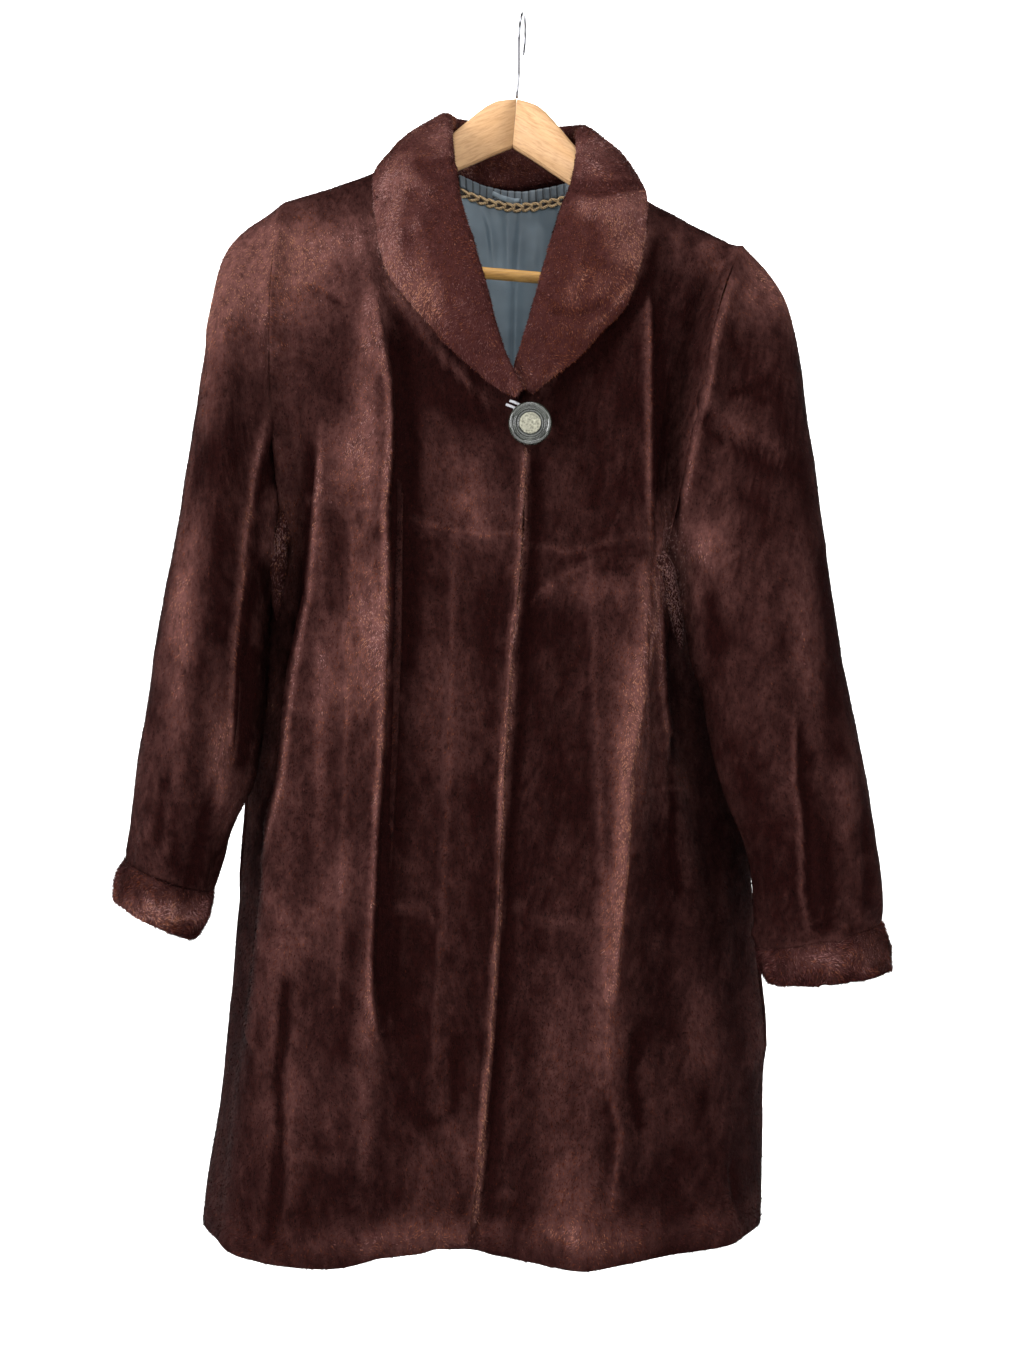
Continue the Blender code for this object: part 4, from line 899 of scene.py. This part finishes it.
def lay_pile(node, hairs, length, width, lift, curl, lighter, seed):
    draw = np.random.default_rng(seed)
    skin = skins[node].data
    skin.calc_loop_triangles()
    triangles = skin.loop_triangles
    corners = rows_of(triangles, "vertices", 3, np.int32)
    outer = rows_of(triangles, "material_index", 1, np.int32)[:, 0] == 0
    weight = rows_of(triangles, "area", 1)[:, 0] * outer
    picked = draw.choice(len(triangles), hairs, p=weight / weight.sum())
    share = draw.random((hairs, 2))
    share = np.where(share.sum(axis=1, keepdims=True) > 1, 1 - share, share)
    share = np.column_stack([1 - share.sum(axis=1), share])
    places = points_of(skin)[corners[picked]]
    root = (places * share[:, :, None]).sum(axis=1)
    normals = rows_of(skin.vertices, "normal", 3)
    up = (normals[corners[picked]] * share[:, :, None]).sum(axis=1)
    up /= np.linalg.norm(up, axis=1)[:, None]
    fall = np.array([0, 0, -1.0]) + 0.15 * draw.normal(size=(hairs, 3))
    fall -= up * (fall * up).sum(axis=1)[:, None]
    fall /= np.maximum(np.linalg.norm(fall, axis=1), 1e-6)[:, None]
    across = np.cross(up, fall)
    low = np.clip((HEM_FROM - root[:, 2]) / HEM_DEEP, 0, 1) * (node in PANELS)
    curl = curl + 1.3 * low
    turn = curl * (1.5 * lattice(root, 0.013, 31) + lattice(root, 0.05, 32) * 0.5)
    turn += 0.20 * draw.normal(size=hairs)
    lie = fall * np.cos(turn)[:, None] + across * np.sin(turn)[:, None]
    near = join_nearness(root, up) * (node in PANELS)
    rise = (lift + 0.25 * low) * draw.uniform(0.3, 1.7, hairs) * (1 - 0.6 * near)
    way = lie + up * rise[:, None]
    way /= np.linalg.norm(way, axis=1)[:, None]
    reach = 0.001 * length * draw.uniform(0.65, 1.25, hairs) * (1 - 0.45 * near)
    edge = np.cross(way, up) + up * draw.uniform(-0.9, 0.9, hairs)[:, None]
    edge /= np.linalg.norm(edge, axis=1)[:, None]
    half = 0.0005 * width * draw.uniform(0.7, 1.3, hairs)[:, None] * edge
    root = root - up * 0.0003
    blades = np.stack([root - half, root + half, root + way * reach[:, None]], axis=1)
    # The tone holds the fur's own tone with painted light and shade, and picks each hair's colour.
    tone = tone_and_painted_light_at(root, up, forms_of[node]) + 0.11 * draw.normal(size=hairs)
    tone += lighter - 0.6 * near + 0.14 * low
    shade = np.digitize(tone, TONE_STEPS)
    brown = warmth_at(root) + 0.25 * draw.normal(size=hairs) > 0
    shade = (shade + len(HAIR_TONES) * brown).astype(np.int32)
    pile = bpy.data.meshes.new(node + "_pile")
    pile.vertices.add(hairs * 3)
    pile.vertices.foreach_set("co", blades.ravel())
    pile.loops.add(hairs * 3)
    pile.loops.foreach_set("vertex_index", np.arange(hairs * 3, dtype=np.int32))
    pile.polygons.add(hairs)
    pile.polygons.foreach_set("loop_start", np.arange(0, hairs * 3, 3, dtype=np.int32))
    pile.polygons.foreach_set("material_index", shade)
    pile.update(calc_edges=True)
    for finish in hair_finishes:
        pile.materials.append(finish)
    return sew_on(node + "_pile", pile, None, "curly_fur" if node.startswith("cuff") else "fur")


for seed, (node, *pile_sizes) in enumerate(PILES):
    lay_pile(node, *pile_sizes, 100 + seed)


# ------------------------------------------------------------------ the lining inside the neck
# Blue-grey satin faces the back inside the neck, where the two fronts part. It is cut a little
# full, hangs in soft creases from the braid, and is sewn in round its edges.
def seen_depth(node, across, up):
    """The depth, in mm, at which a level look from the front meets the node's solid."""
    solid = BVHTree.FromPolygons(
        [vertex.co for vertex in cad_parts[node].data.vertices],
        [face.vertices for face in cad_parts[node].data.polygons],
    )
    found = np.full(np.broadcast(across, up).shape, np.nan)
    for spot, (x, z) in zip(np.ndindex(found.shape), np.broadcast(across, up)):
        place = solid.ray_cast((x / 1000, -0.4, z / 1000), (0, 1, 0))[0]
        found[spot] = np.nan if place is None else place.y * 1000
    gaps = np.isnan(found)
    found[gaps] = np.interp(np.flatnonzero(gaps), np.flatnonzero(~gaps), found[~gaps])
    return found


def walled_sheet(name, near, far):
    """A closed wall between two grids of points in mm, each of them rows of columns."""
    rows, columns = near.shape[:2]
    count = rows * columns
    faces = []
    for i in range(rows - 1):
        for j in range(columns - 1):
            a = i * columns + j
            faces.append((a, a + 1, a + columns + 1, a + columns))
            faces.append((count + a, count + a + columns, count + a + columns + 1, count + a + 1))
    for j in range(columns - 1):
        top, low = j, (rows - 1) * columns + j
        faces.append((top, count + top, count + top + 1, top + 1))
        faces.append((low, low + 1, count + low + 1, count + low))
    for i in range(rows - 1):
        left, right = i * columns, i * columns + columns - 1
        faces.append((left, left + columns, count + left + columns, count + left))
        faces.append((right, count + right, count + right + columns, right + columns))
    mesh = bpy.data.meshes.new(name)
    mesh.from_pydata(np.concatenate([near, far]).reshape(-1, 3) / 1000, [], faces)
    mesh.shade_smooth()
    return mesh


NECK_LINE = ((-90, 10.0), (-56, 7.5), (-36, 1.0), (-17, -2.5), (0, -3.6), (20, -1.6), (60, 1.0))


def neck_rise(across):
    """How far the neckline dips below level, or climbs above it, as it hangs, in mm."""
    places, rises = zip(*NECK_LINE)
    return np.interp(across, places, rises)


LINING_CREASES = (
    # what it is, front -1 or back 1, kind, width, height or depth (mm), its line (x, z in mm)
    ("fan crease by the braid", -1, "left", 5, 3.4, ((-37, -154), (-31, -172), (-27, -206))),
    ("slack beside it", -1, "ridge", 7, 1.6, ((-24, -158), (-18, -186), (-16, -230))),
    ("middle back pleat", -1, "left", 7, 4.2,
     ((-3, -158), (-5, -190), (-8, -240), (-9, -290), (-10, -392))),
    ("fold beside the pleat", -1, "ridge", 9, 2.4, ((8, -176), (6, -210), (4, -260))),
    ("short pull under the braid", -1, "groove", 3, 1.1, ((8, -160), (17, -168), (29, -171))),
    ("right-hand slack", -1, "groove", 9, 1.8, ((24, -176), (20, -214), (14, -262))),
    ("left-hand slack", -1, "groove", 10, 1.6, ((-48, -176), (-40, -220), (-34, -262))),
)
LINING_SIDES = (-74.0, 58.0)
LINING_ENDS = (-146.6, -400.0)
LINING_THICK = 1.3
columns = np.linspace(*LINING_SIDES, 76)
heights = np.concatenate([np.linspace(LINING_ENDS[0], -282, 64), np.linspace(-290, LINING_ENDS[1], 11)])
across, up = np.meshgrid(columns, heights)
depth = seen_depth("back_lining", across[::4], up[::4])
depth = np.stack(
    [np.interp(-heights, -heights[::4], depth[:, k]) for k in range(len(columns))], axis=1
)
spots = np.stack([across, depth, up], axis=-1).reshape(-1, 3) / 1000
toward = np.tile((0.0, -1.0, 0.0), (len(spots), 1))
creased = form_height(spots, toward, LINING_CREASES)[0] + 0.0006 * lattice(spots, 0.02, 41)
creased = np.maximum(creased, -0.0003) + 0.0012
near = np.stack([across, depth - 1000 * creased.reshape(across.shape), up], axis=-1)
far = near + (0, LINING_THICK, 0)
lining = sew_on(
    "lining", walled_sheet("lining", near, far), lining_finish, "lining_satin", "back_lining"
)


# ------------------------------------------------------------------ the pleated neck band
# A narrow satin band, gathered into small pressed pleats, covers the seam between the collar
# and the lining. It is sewn along its top and bottom edges.
BAND_PLEATS = 16
BAND_SIDES = (-58.0, 42.0)
BAND_ENDS = (-136.4, -147.0)
BAND_MIDDLE = -141.0
PLEAT_PROUD = 3.2
PLEAT_COLUMNS = 12
columns = np.linspace(*BAND_SIDES, BAND_PLEATS * PLEAT_COLUMNS + 1)
share = np.linspace(0, 1, 7)
across, fallen = np.meshgrid(columns, share)
base = np.interp(columns, columns[::6], seen_depth("neck_band", columns[::6], BAND_MIDDLE))
base = np.convolve(np.pad(base, 12, mode="edge"), np.ones(25) / 25, mode="valid")
pleat = (across - BAND_SIDES[0]) / (BAND_SIDES[1] - BAND_SIDES[0]) * BAND_PLEATS
uneven = np.random.default_rng(51).uniform(0.75, 1.15, BAND_PLEATS + 1)[pleat.astype(int)]
pleat = pleat - np.floor(pleat)
plump = (1 - np.exp(-((pleat / 0.13) ** 2)) * 0.95) * (1 - 0.25 * pleat) * uneven
plump = plump * (0.75 + 0.25 * np.sin(math.pi * fallen))
up = BAND_ENDS[0] + (BAND_ENDS[1] - BAND_ENDS[0]) * fallen + neck_rise(across)
lean = 0.7 * np.sin(across / 13.0)
near = np.stack([across + lean * fallen, base - PLEAT_PROUD * plump, up], axis=-1)
far = np.stack([across + lean * fallen, base + 1.0 + 0 * up, up], axis=-1)
band_finish = satin("band_satin", (0.130, 0.165, 0.195), (0.055, 0.074, 0.090))
# Near-black satin: painted shade in the pleats' folds.
pleat_shade_finish = satin("band_painted_fold_shade", (0.020, 0.027, 0.034), (0.010, 0.014, 0.018))
band = sew_on(
    "pleated_band", walled_sheet("pleated_band", near, far), band_finish, "lining_satin", "neck_band"
)
band.data.materials.append(pleat_shade_finish)
strips = (share.size - 1) * (columns.size - 1)
# The faces in the folds between the pleats take the near-black satin: painted shade.
for k in range(strips):
    if k % (columns.size - 1) % PLEAT_COLUMNS in (0, PLEAT_COLUMNS - 1):
        band.data.polygons[2 * k].material_index = 1


# ------------------------------------------------------------------ the braid and the hang loop
# A chain of tan braided links on a near-black cord, sewn over the lining's top edge; the cord also stands in
# as painted shade between the links. Each link is a flat leaf-shaped ring of braid, caught in the next one's
# open end.
LINKS = 12
LINK_LENGTH = 9.6
LINK_HEIGHT = 8.4
BRAID_SIDES = (-58.0, 42.0)
BRAID_HEIGHT = -151.5
STRAND = 1.3
CORD_BEHIND = 0.6


def swept(name, path, wide, deep, around=8):
    """An oval strand along a path in mm, `wide` up its side and `deep` from front to back."""
    path = np.asarray(path, float)
    along = np.gradient(path, axis=0)
    along /= np.linalg.norm(along, axis=1)[:, None]
    depthwise = np.array([0.0, -1.0, 0.0])
    if np.abs(along[:, 1]).max() > 0.9:
        depthwise = np.array([1.0, 0.0, 0.0])
    side = np.cross(along, depthwise)
    side /= np.linalg.norm(side, axis=1)[:, None]
    lift = np.cross(side, along)
    turn = np.linspace(0, 2 * math.pi, around, endpoint=False)
    ring = side[:, None] * (wide * np.cos(turn))[None, :, None]
    ring = ring + lift[:, None] * (deep * np.sin(turn))[None, :, None]
    points = (path[:, None] + ring).reshape(-1, 3)
    faces = []
    for i in range(len(path) - 1):
        for j in range(around):
            a, b = i * around + j, i * around + (j + 1) % around
            faces.append((a, b, b + around, a + around))
    faces.append(tuple(range(around))[::-1])
    faces.append(tuple(range(len(points) - around, len(points))))
    mesh = bpy.data.meshes.new(name)
    mesh.from_pydata(points / 1000, [], faces)
    mesh.shade_smooth()
    return mesh


def joined(name, meshes):
    """One mesh from several."""
    build = bmesh.new()
    for mesh in meshes:
        build.from_mesh(mesh)
        bpy.data.meshes.remove(mesh)
    bmesh.ops.recalc_face_normals(build, faces=build.faces)
    whole = bpy.data.meshes.new(name)
    build.to_mesh(whole)
    build.free()
    whole.shade_smooth()
    return whole


def braided(name, pale, deep, size, rough):
    """Slanting twisted yarn, with painted shade where its turns sink, and worn patches."""
    yarn = Finish(name, Roughness=rough, Sheen_Weight=0.2)
    place = yarn.node("TexCoord", output=3)
    turns = yarn.node("TexWave", {"bands_direction": "DIAGONAL"}, n0=place, Scale=size, Distortion=1.5)
    worn = yarn.node("TexNoise", n0=place, Scale=260.0, Detail=2.0)
    amount = turns * 0.55 + worn * 0.6
    # Painted shade: darker where the twist's bumps sink; the noise adds wear.
    yarn.shade("Base Color", yarn.blend(amount - 0.1, deep, pale))
    yarn.shade("Normal", yarn.node("Bump", Strength=0.6, Distance=0.0006, Height=turns))
    return yarn.material


links, cords = [], []
step = (BRAID_SIDES[1] - BRAID_SIDES[0] - LINK_LENGTH * 0.4) / LINKS
along_arm = np.linspace(0, 1, 16)
draw = np.random.default_rng(61)
for link in range(LINKS):
    start = BRAID_SIDES[0] + 0.5 + step * link
    wobble = draw.uniform(-0.5, 0.5, 3)
    front = seen_depth("neck_braid", np.array([start + 5.0]), BRAID_HEIGHT)[0]
    for arm in (-1, 1):
        # Each arm leaves the link before it, bows out, and meets its fellow in a point.
        x = start + LINK_LENGTH * along_arm
        z = arm * (0.5 * LINK_HEIGHT - STRAND) * np.sin(math.pi * along_arm**0.55)
        z = z + BRAID_HEIGHT + wobble[0] + neck_rise(x)
        y = front - 0.2 - 2.2 * along_arm - 0.3 * wobble[1] - 0.3 * arm
        links.append(swept("link", np.stack([x, y, z], axis=-1), STRAND, 0.95))
for lane in (-0.9, 0.9):
    x = np.linspace(BRAID_SIDES[0] + 1, BRAID_SIDES[1] - 1, 100)
    y = np.interp(x, x[::9], seen_depth("neck_braid", x[::9], BRAID_HEIGHT) + CORD_BEHIND)
    z = BRAID_HEIGHT + neck_rise(x) + lane * np.cos(x * 2 * math.pi / step) * 1.6
    cords.append(swept("cord", np.stack([x, y, z], axis=-1), 1.2, 0.9))
tan_braid = braided("tan_braid", (0.80, 0.57, 0.30), (0.26, 0.16, 0.075), 330.0, 0.62)
# Near-black cord: partly a cord, partly painted shade between the links.
cord_and_painted_shade = braided("cord_and_painted_shade", (0.045, 0.028, 0.018), (0.012, 0.008, 0.006), 300.0, 0.7)
sew_on("braid_links", joined("braid_links", links), tan_braid, "braid", "neck_braid")
sew_on("braid_cord", joined("braid_cord", cords), cord_and_painted_shade, "braid", "neck_braid")

RIBBON_WIDE = 4.6
share = np.linspace(0, 1, 25)
x = -28.0 + 24.0 * share
bow = np.sin(math.pi * share)
z = -141.8 - 6.4 * share - 2.2 * bow
y = np.interp(x, x[::4], seen_depth("neck_band", x[::4], BAND_MIDDLE)) - 2.0 - 2.2 * bow**0.7
across = np.linspace(-0.5, 0.5, 9)[:, None]
near = np.stack(
    [x + 1.1 * across, y - 0.5 * (1 - 4 * across**2), z + across * RIBBON_WIDE * (0.8 + 0.2 * bow)],
    axis=-1,
)
sew_on(
    "satin_loop",
    walled_sheet("satin_loop", near, near + (0, 0.8, 0)),
    satin("loop_satin", (0.270, 0.345, 0.400), (0.130, 0.175, 0.210)),
    "lining_satin",
    "hang_loop",
)


# ------------------------------------------------------------------ the button and its cord
# One large coat button, turned from dark marbled resin and polished, with a roughened pale
# centre let into its dish. A twisted cord loop from the collar's tip passes round its shank.
BUTTON_TURNING = (
    # radius, height above the button's back in mm, from the middle of the face out to the back
    (0.0, 6.9), (3.0, 7.2), (6.0, 7.1), (8.0, 7.4), (8.8, 7.2), (9.1, 6.3), (9.6, 5.3), (10.6, 5.0),
    (11.2, 5.2), (11.7, 6.1), (12.3, 6.5), (12.9, 6.1), (13.3, 5.5), (13.9, 5.5), (14.4, 6.1),
    (15.3, 6.8), (16.3, 6.9), (17.2, 6.2), (17.8, 4.9), (18.0, 3.4), (17.4, 1.6), (16.0, 0.5),
    (13.0, 0.0), (3.4, 0.0), (2.7, -0.8), (2.6, -12.9), (0.0, -12.9),
)
BUTTON_PLACE = (4.5, -367.0)
PALE_CENTRE = 8.6


def turned_button():
    rings, around = 0, 72
    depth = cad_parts["button"].data.vertices
    front = min(vertex.co.y for vertex in depth) * 1000
    points, faces = [], []
    for k in range(1, len(BUTTON_TURNING) - 1):
        radius, high = BUTTON_TURNING[k]
        before, after = BUTTON_TURNING[k - 1], BUTTON_TURNING[k + 1]
        for share in (0.0, 0.5):
            bend = 0.0 if share == 0 else 0.12 * (2 * high - before[1] - after[1])
            here = radius + (after[0] - radius) * share
            tall = high + (after[1] - high) * share + bend * share
            for turn in np.linspace(0, 2 * math.pi, around, endpoint=False):
                points.append(
                    (
                        BUTTON_PLACE[0] + here * math.cos(turn),
                        front + 7.2 - tall,
                        BUTTON_PLACE[1] + here * math.sin(turn),
                    )
                )
            rings += 1
    for k in range(rings - 1):
        for j in range(around):
            n = (j + 1) % around
            faces.append((k * around + j, k * around + n, (k + 1) * around + n, (k + 1) * around + j))
    points.append((BUTTON_PLACE[0], front + 7.2 - BUTTON_TURNING[0][1], BUTTON_PLACE[1]))
    points.append((BUTTON_PLACE[0], front + 7.2 - BUTTON_TURNING[-1][1], BUTTON_PLACE[1]))
    for j in range(around):
        n = (j + 1) % around
        faces.append((len(points) - 2, n, j))
        faces.append((len(points) - 1, (rings - 1) * around + j, (rings - 1) * around + n))
    mesh = bpy.data.meshes.new("turned_button")
    mesh.from_pydata(np.array(points) / 1000, [], faces)
    mesh.shade_smooth()
    for face in mesh.polygons:
        x, y, z = face.center * 1000
        pale = math.hypot(x - BUTTON_PLACE[0], z - BUTTON_PLACE[1]) < PALE_CENTRE and y < front + 3
        face.material_index = 1 if pale else 0
    return mesh


resin = Finish("polished_resin", Roughness=0.14, Coat_Weight=0.8, Coat_Roughness=0.05)
place = resin.node("TexCoord", output=3)
marbling = resin.node("TexNoise", n0=place, Scale=95.0, Detail=4.0, Roughness=0.7, Distortion=1.2)
resin.shade("Base Color", resin.blend(marbling * 2.2 - 0.7, (0.008, 0.009, 0.008), (0.062, 0.068, 0.055)))
shell = Finish("pale_centre", Roughness=0.42)
place = shell.node("TexCoord", output=3)
carving = shell.node("TexVoronoi", {"feature": "SMOOTH_F1"}, n0=place, Scale=620.0)
stain = shell.node("TexNoise", n0=place, Scale=330.0, Detail=4.0)
shell.shade(
    "Base Color",
    shell.blend(carving * 1.1 + stain * 0.9 - 0.45, (0.080, 0.076, 0.052), (0.40, 0.39, 0.30)),
)
shell.shade("Normal", shell.node("Bump", Strength=0.8, Distance=0.0008, Height=carving + stain))
button = sew_on("turned_button", turned_button(), resin.material, "button", "button")
button.data.materials.append(shell.material)

LOOP_ROUTE = (
    # across, drop, depth in mm: out of the collar's tip, round the shank and back again
    (-15.0, 350.5, -77.2), (-9.0, 353.0, -77.4), (-3.0, 357.5, -77.4), (-0.6, 362.6, -77.3),
    (-0.2, 369.0, -77.2), (4.5, 372.4, -77.2), (9.2, 369.0, -77.2), (9.6, 363.4, -77.2),
    (5.6, 358.0, -77.3), (0.0, 353.4, -77.4), (-6.0, 349.8, -77.4), (-12.0, 347.4, -77.2),
)
CORD_TURNS = 26
PLY = 0.72


def smooth_route(stops, pieces):
    """An even curve through the stops."""
    stops = np.array(stops, float)
    stops = np.concatenate([[2 * stops[0] - stops[1]], stops, [2 * stops[-1] - stops[-2]]])
    route = []
    for k in range(1, len(stops) - 2):
        a, b, c, d = stops[k - 1 : k + 3]
        for t in np.linspace(0, 1, pieces, endpoint=False):
            bent = (2 * b + (c - a) * t + (2 * a - 5 * b + 4 * c - d) * t**2)
            route.append(0.5 * (bent + (3 * b - a - 3 * c + d) * t**3))
    return np.array(route + [stops[-2]])


route = smooth_route([(x, y, -drop) for x, drop, y in LOOP_ROUTE], 20)
plies = []
along = np.gradient(route, axis=0)
along /= np.linalg.norm(along, axis=1)[:, None]
side = np.cross(along, (0.0, -1.0, 0.0))
for start in (0.0, math.pi):
    spin = start + 2 * math.pi * CORD_TURNS * np.linspace(0, 1, len(route))
    ply = route + 0.55 * (side * np.cos(spin)[:, None] + np.array([0, -1.0, 0]) * np.sin(spin)[:, None])
    plies.append(swept("ply", ply, PLY, PLY, around=7))
pale_cord = Finish("pale_cord", Roughness=0.38, Base_Color=(0.55, 0.55, 0.58), Sheen_Weight=0.3)
place = pale_cord.node("TexCoord", output=3)
strands = pale_cord.node("TexNoise", n0=place, Scale=900.0, Detail=2.0)
pale_cord.shade("Base Color", pale_cord.blend(strands, (0.20, 0.19, 0.21), (0.72, 0.72, 0.76)))
pale_cord.shade("Normal", pale_cord.node("Bump", Strength=0.5, Distance=0.0003, Height=strands))
sew_on("twisted_cord", joined("twisted_cord", plies), pale_cord.material, "cord", "button_loop")


# ------------------------------------------------------------------ the wooden hanger
# Two shaped arms of pale varnished wood, mitred together at the middle, with a golden dowel
# glued between them and a bent steel wire hook screwed into the joint.
LEAN = math.radians(5.0)
NOTCH_REACH = 51.0
NOTCH_FILL = 4.2


MITRE_NEAR = 0.0015


def eased(node, width):
    """The node's solid with its edges rounded by `width` mm, but not those of the mitre."""
    build = bmesh.new()
    build.from_mesh(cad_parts[node].data)
    bmesh.ops.remove_doubles(build, verts=build.verts, dist=2e-6)
    bmesh.ops.dissolve_limit(
        build, angle_limit=math.radians(1.5), verts=build.verts, edges=build.edges
    )
    for vertex in build.verts:
        # The notch under the middle is cut straight, as a V with a sharp point.
        x, _, z = vertex.co * 1000
        reach = abs(x * math.cos(LEAN) - z * math.sin(LEAN))
        drop = -z * math.cos(LEAN) - x * math.sin(LEAN)
        if reach < NOTCH_REACH and drop > 100:
            vertex.co.z -= NOTCH_FILL / 1000 * math.sin(math.pi * reach / NOTCH_REACH)
    sharp = []
    for edge in build.edges:
        x, _, z = (edge.verts[0].co + edge.verts[1].co) / 2
        if edge.calc_face_angle(0) > math.radians(16) and abs(x - z * math.tan(LEAN)) > MITRE_NEAR:
            sharp.append(edge)
    bmesh.ops.bevel(
        build, geom=sharp, offset=width / 1000, segments=3, affect="EDGES", clamp_overlap=True
    )
    mesh = bpy.data.meshes.new(node + "_eased")
    build.to_mesh(mesh)
    build.free()
    mesh.shade_smooth()
    return mesh


def grained(name, pale, deep, line, lean, rough):
    """Varnished wood with its grain along the arm and small dark pores."""
    wood = Finish(name, Roughness=rough, Specular_IOR_Level=0.3)
    place = wood.node("TexCoord", output=3)
    turned = wood.node("Mapping", n0=place, n2=(0.0, lean, 0.0))
    lengthwise = wood.node("Mapping", n0=turned, n3=(7.0, 60.0, 60.0))
    bands = wood.node("TexNoise", n0=lengthwise, Scale=1.6, Detail=3.0, Distortion=0.6)
    streak = wood.node("Mapping", n0=turned, n3=(30.0, 420.0, 420.0))
    fibres = wood.node("TexNoise", n0=streak, Scale=1.5, Detail=3.0, Roughness=0.7)
    warm = wood.blend(bands * 1.7 - 0.35, pale, line)
    wood.shade("Base Color", wood.blend((fibres * 2.8 - 1.2) * 0.85, warm, deep))
    wood.shade("Normal", wood.node("Bump", Strength=0.12, Distance=0.0004, Height=fibres))
    return wood.material


PALE_WOOD = (0.640, 0.400, 0.215)
WOOD_LINE = (0.500, 0.285, 0.130)
WOOD_DEEP = (0.330, 0.165, 0.070)
for side, lean in (("right", 0.42), ("left", -0.52)):
    node = "hanger_arm_" + side
    arm_wood = grained("arm_wood_" + side, PALE_WOOD, WOOD_DEEP, WOOD_LINE, lean, 0.55)
    sew_on(node + "_wood", eased(node, 1.2), arm_wood, "beech", node)

DOWEL_THICK = 10.0
dowel_ends = np.array([vertex.co * 1000 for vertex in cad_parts["trouser_bar"].data.vertices])
dowel_left = dowel_ends[dowel_ends[:, 0] < dowel_ends[:, 0].min() + 3].mean(axis=0)
dowel_right = dowel_ends[dowel_ends[:, 0] > dowel_ends[:, 0].max() - 3].mean(axis=0)
share = np.linspace(0, 1, 24)[:, None]
dowel_line = dowel_left * (1 - share) + dowel_right * share
golden = grained("dowel_wood", (0.760, 0.430, 0.120), (0.360, 0.160, 0.035), (0.62, 0.32, 0.08), 0.087, 0.42)
sew_on(
    "turned_dowel",
    swept("turned_dowel", dowel_line, DOWEL_THICK / 2, DOWEL_THICK / 2, around=40),
    golden,
    "dowel_wood",
    "trouser_bar",
)

steel = Finish("bright_wire", Roughness=0.22, Metallic=1.0)
place = steel.node("TexCoord", output=3)
drawn = steel.node("TexNoise", n0=place, Scale=300.0, Detail=2.0)
steel.shade("Base Color", steel.blend(drawn, (0.16, 0.16, 0.17), (0.34, 0.34, 0.36)))
steel.shade("Roughness", drawn * 0.16 + 0.16)
hook = bpy.data.meshes.new("wire_hook")
build = bmesh.new()
build.from_mesh(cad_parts["hanger_hook"].data)
bmesh.ops.remove_doubles(build, verts=build.verts, dist=2e-6)
build.to_mesh(hook)
build.free()
hook.shade_smooth()
sew_on("wire_hook", hook, steel.material, "hook_steel", "hanger_hook")
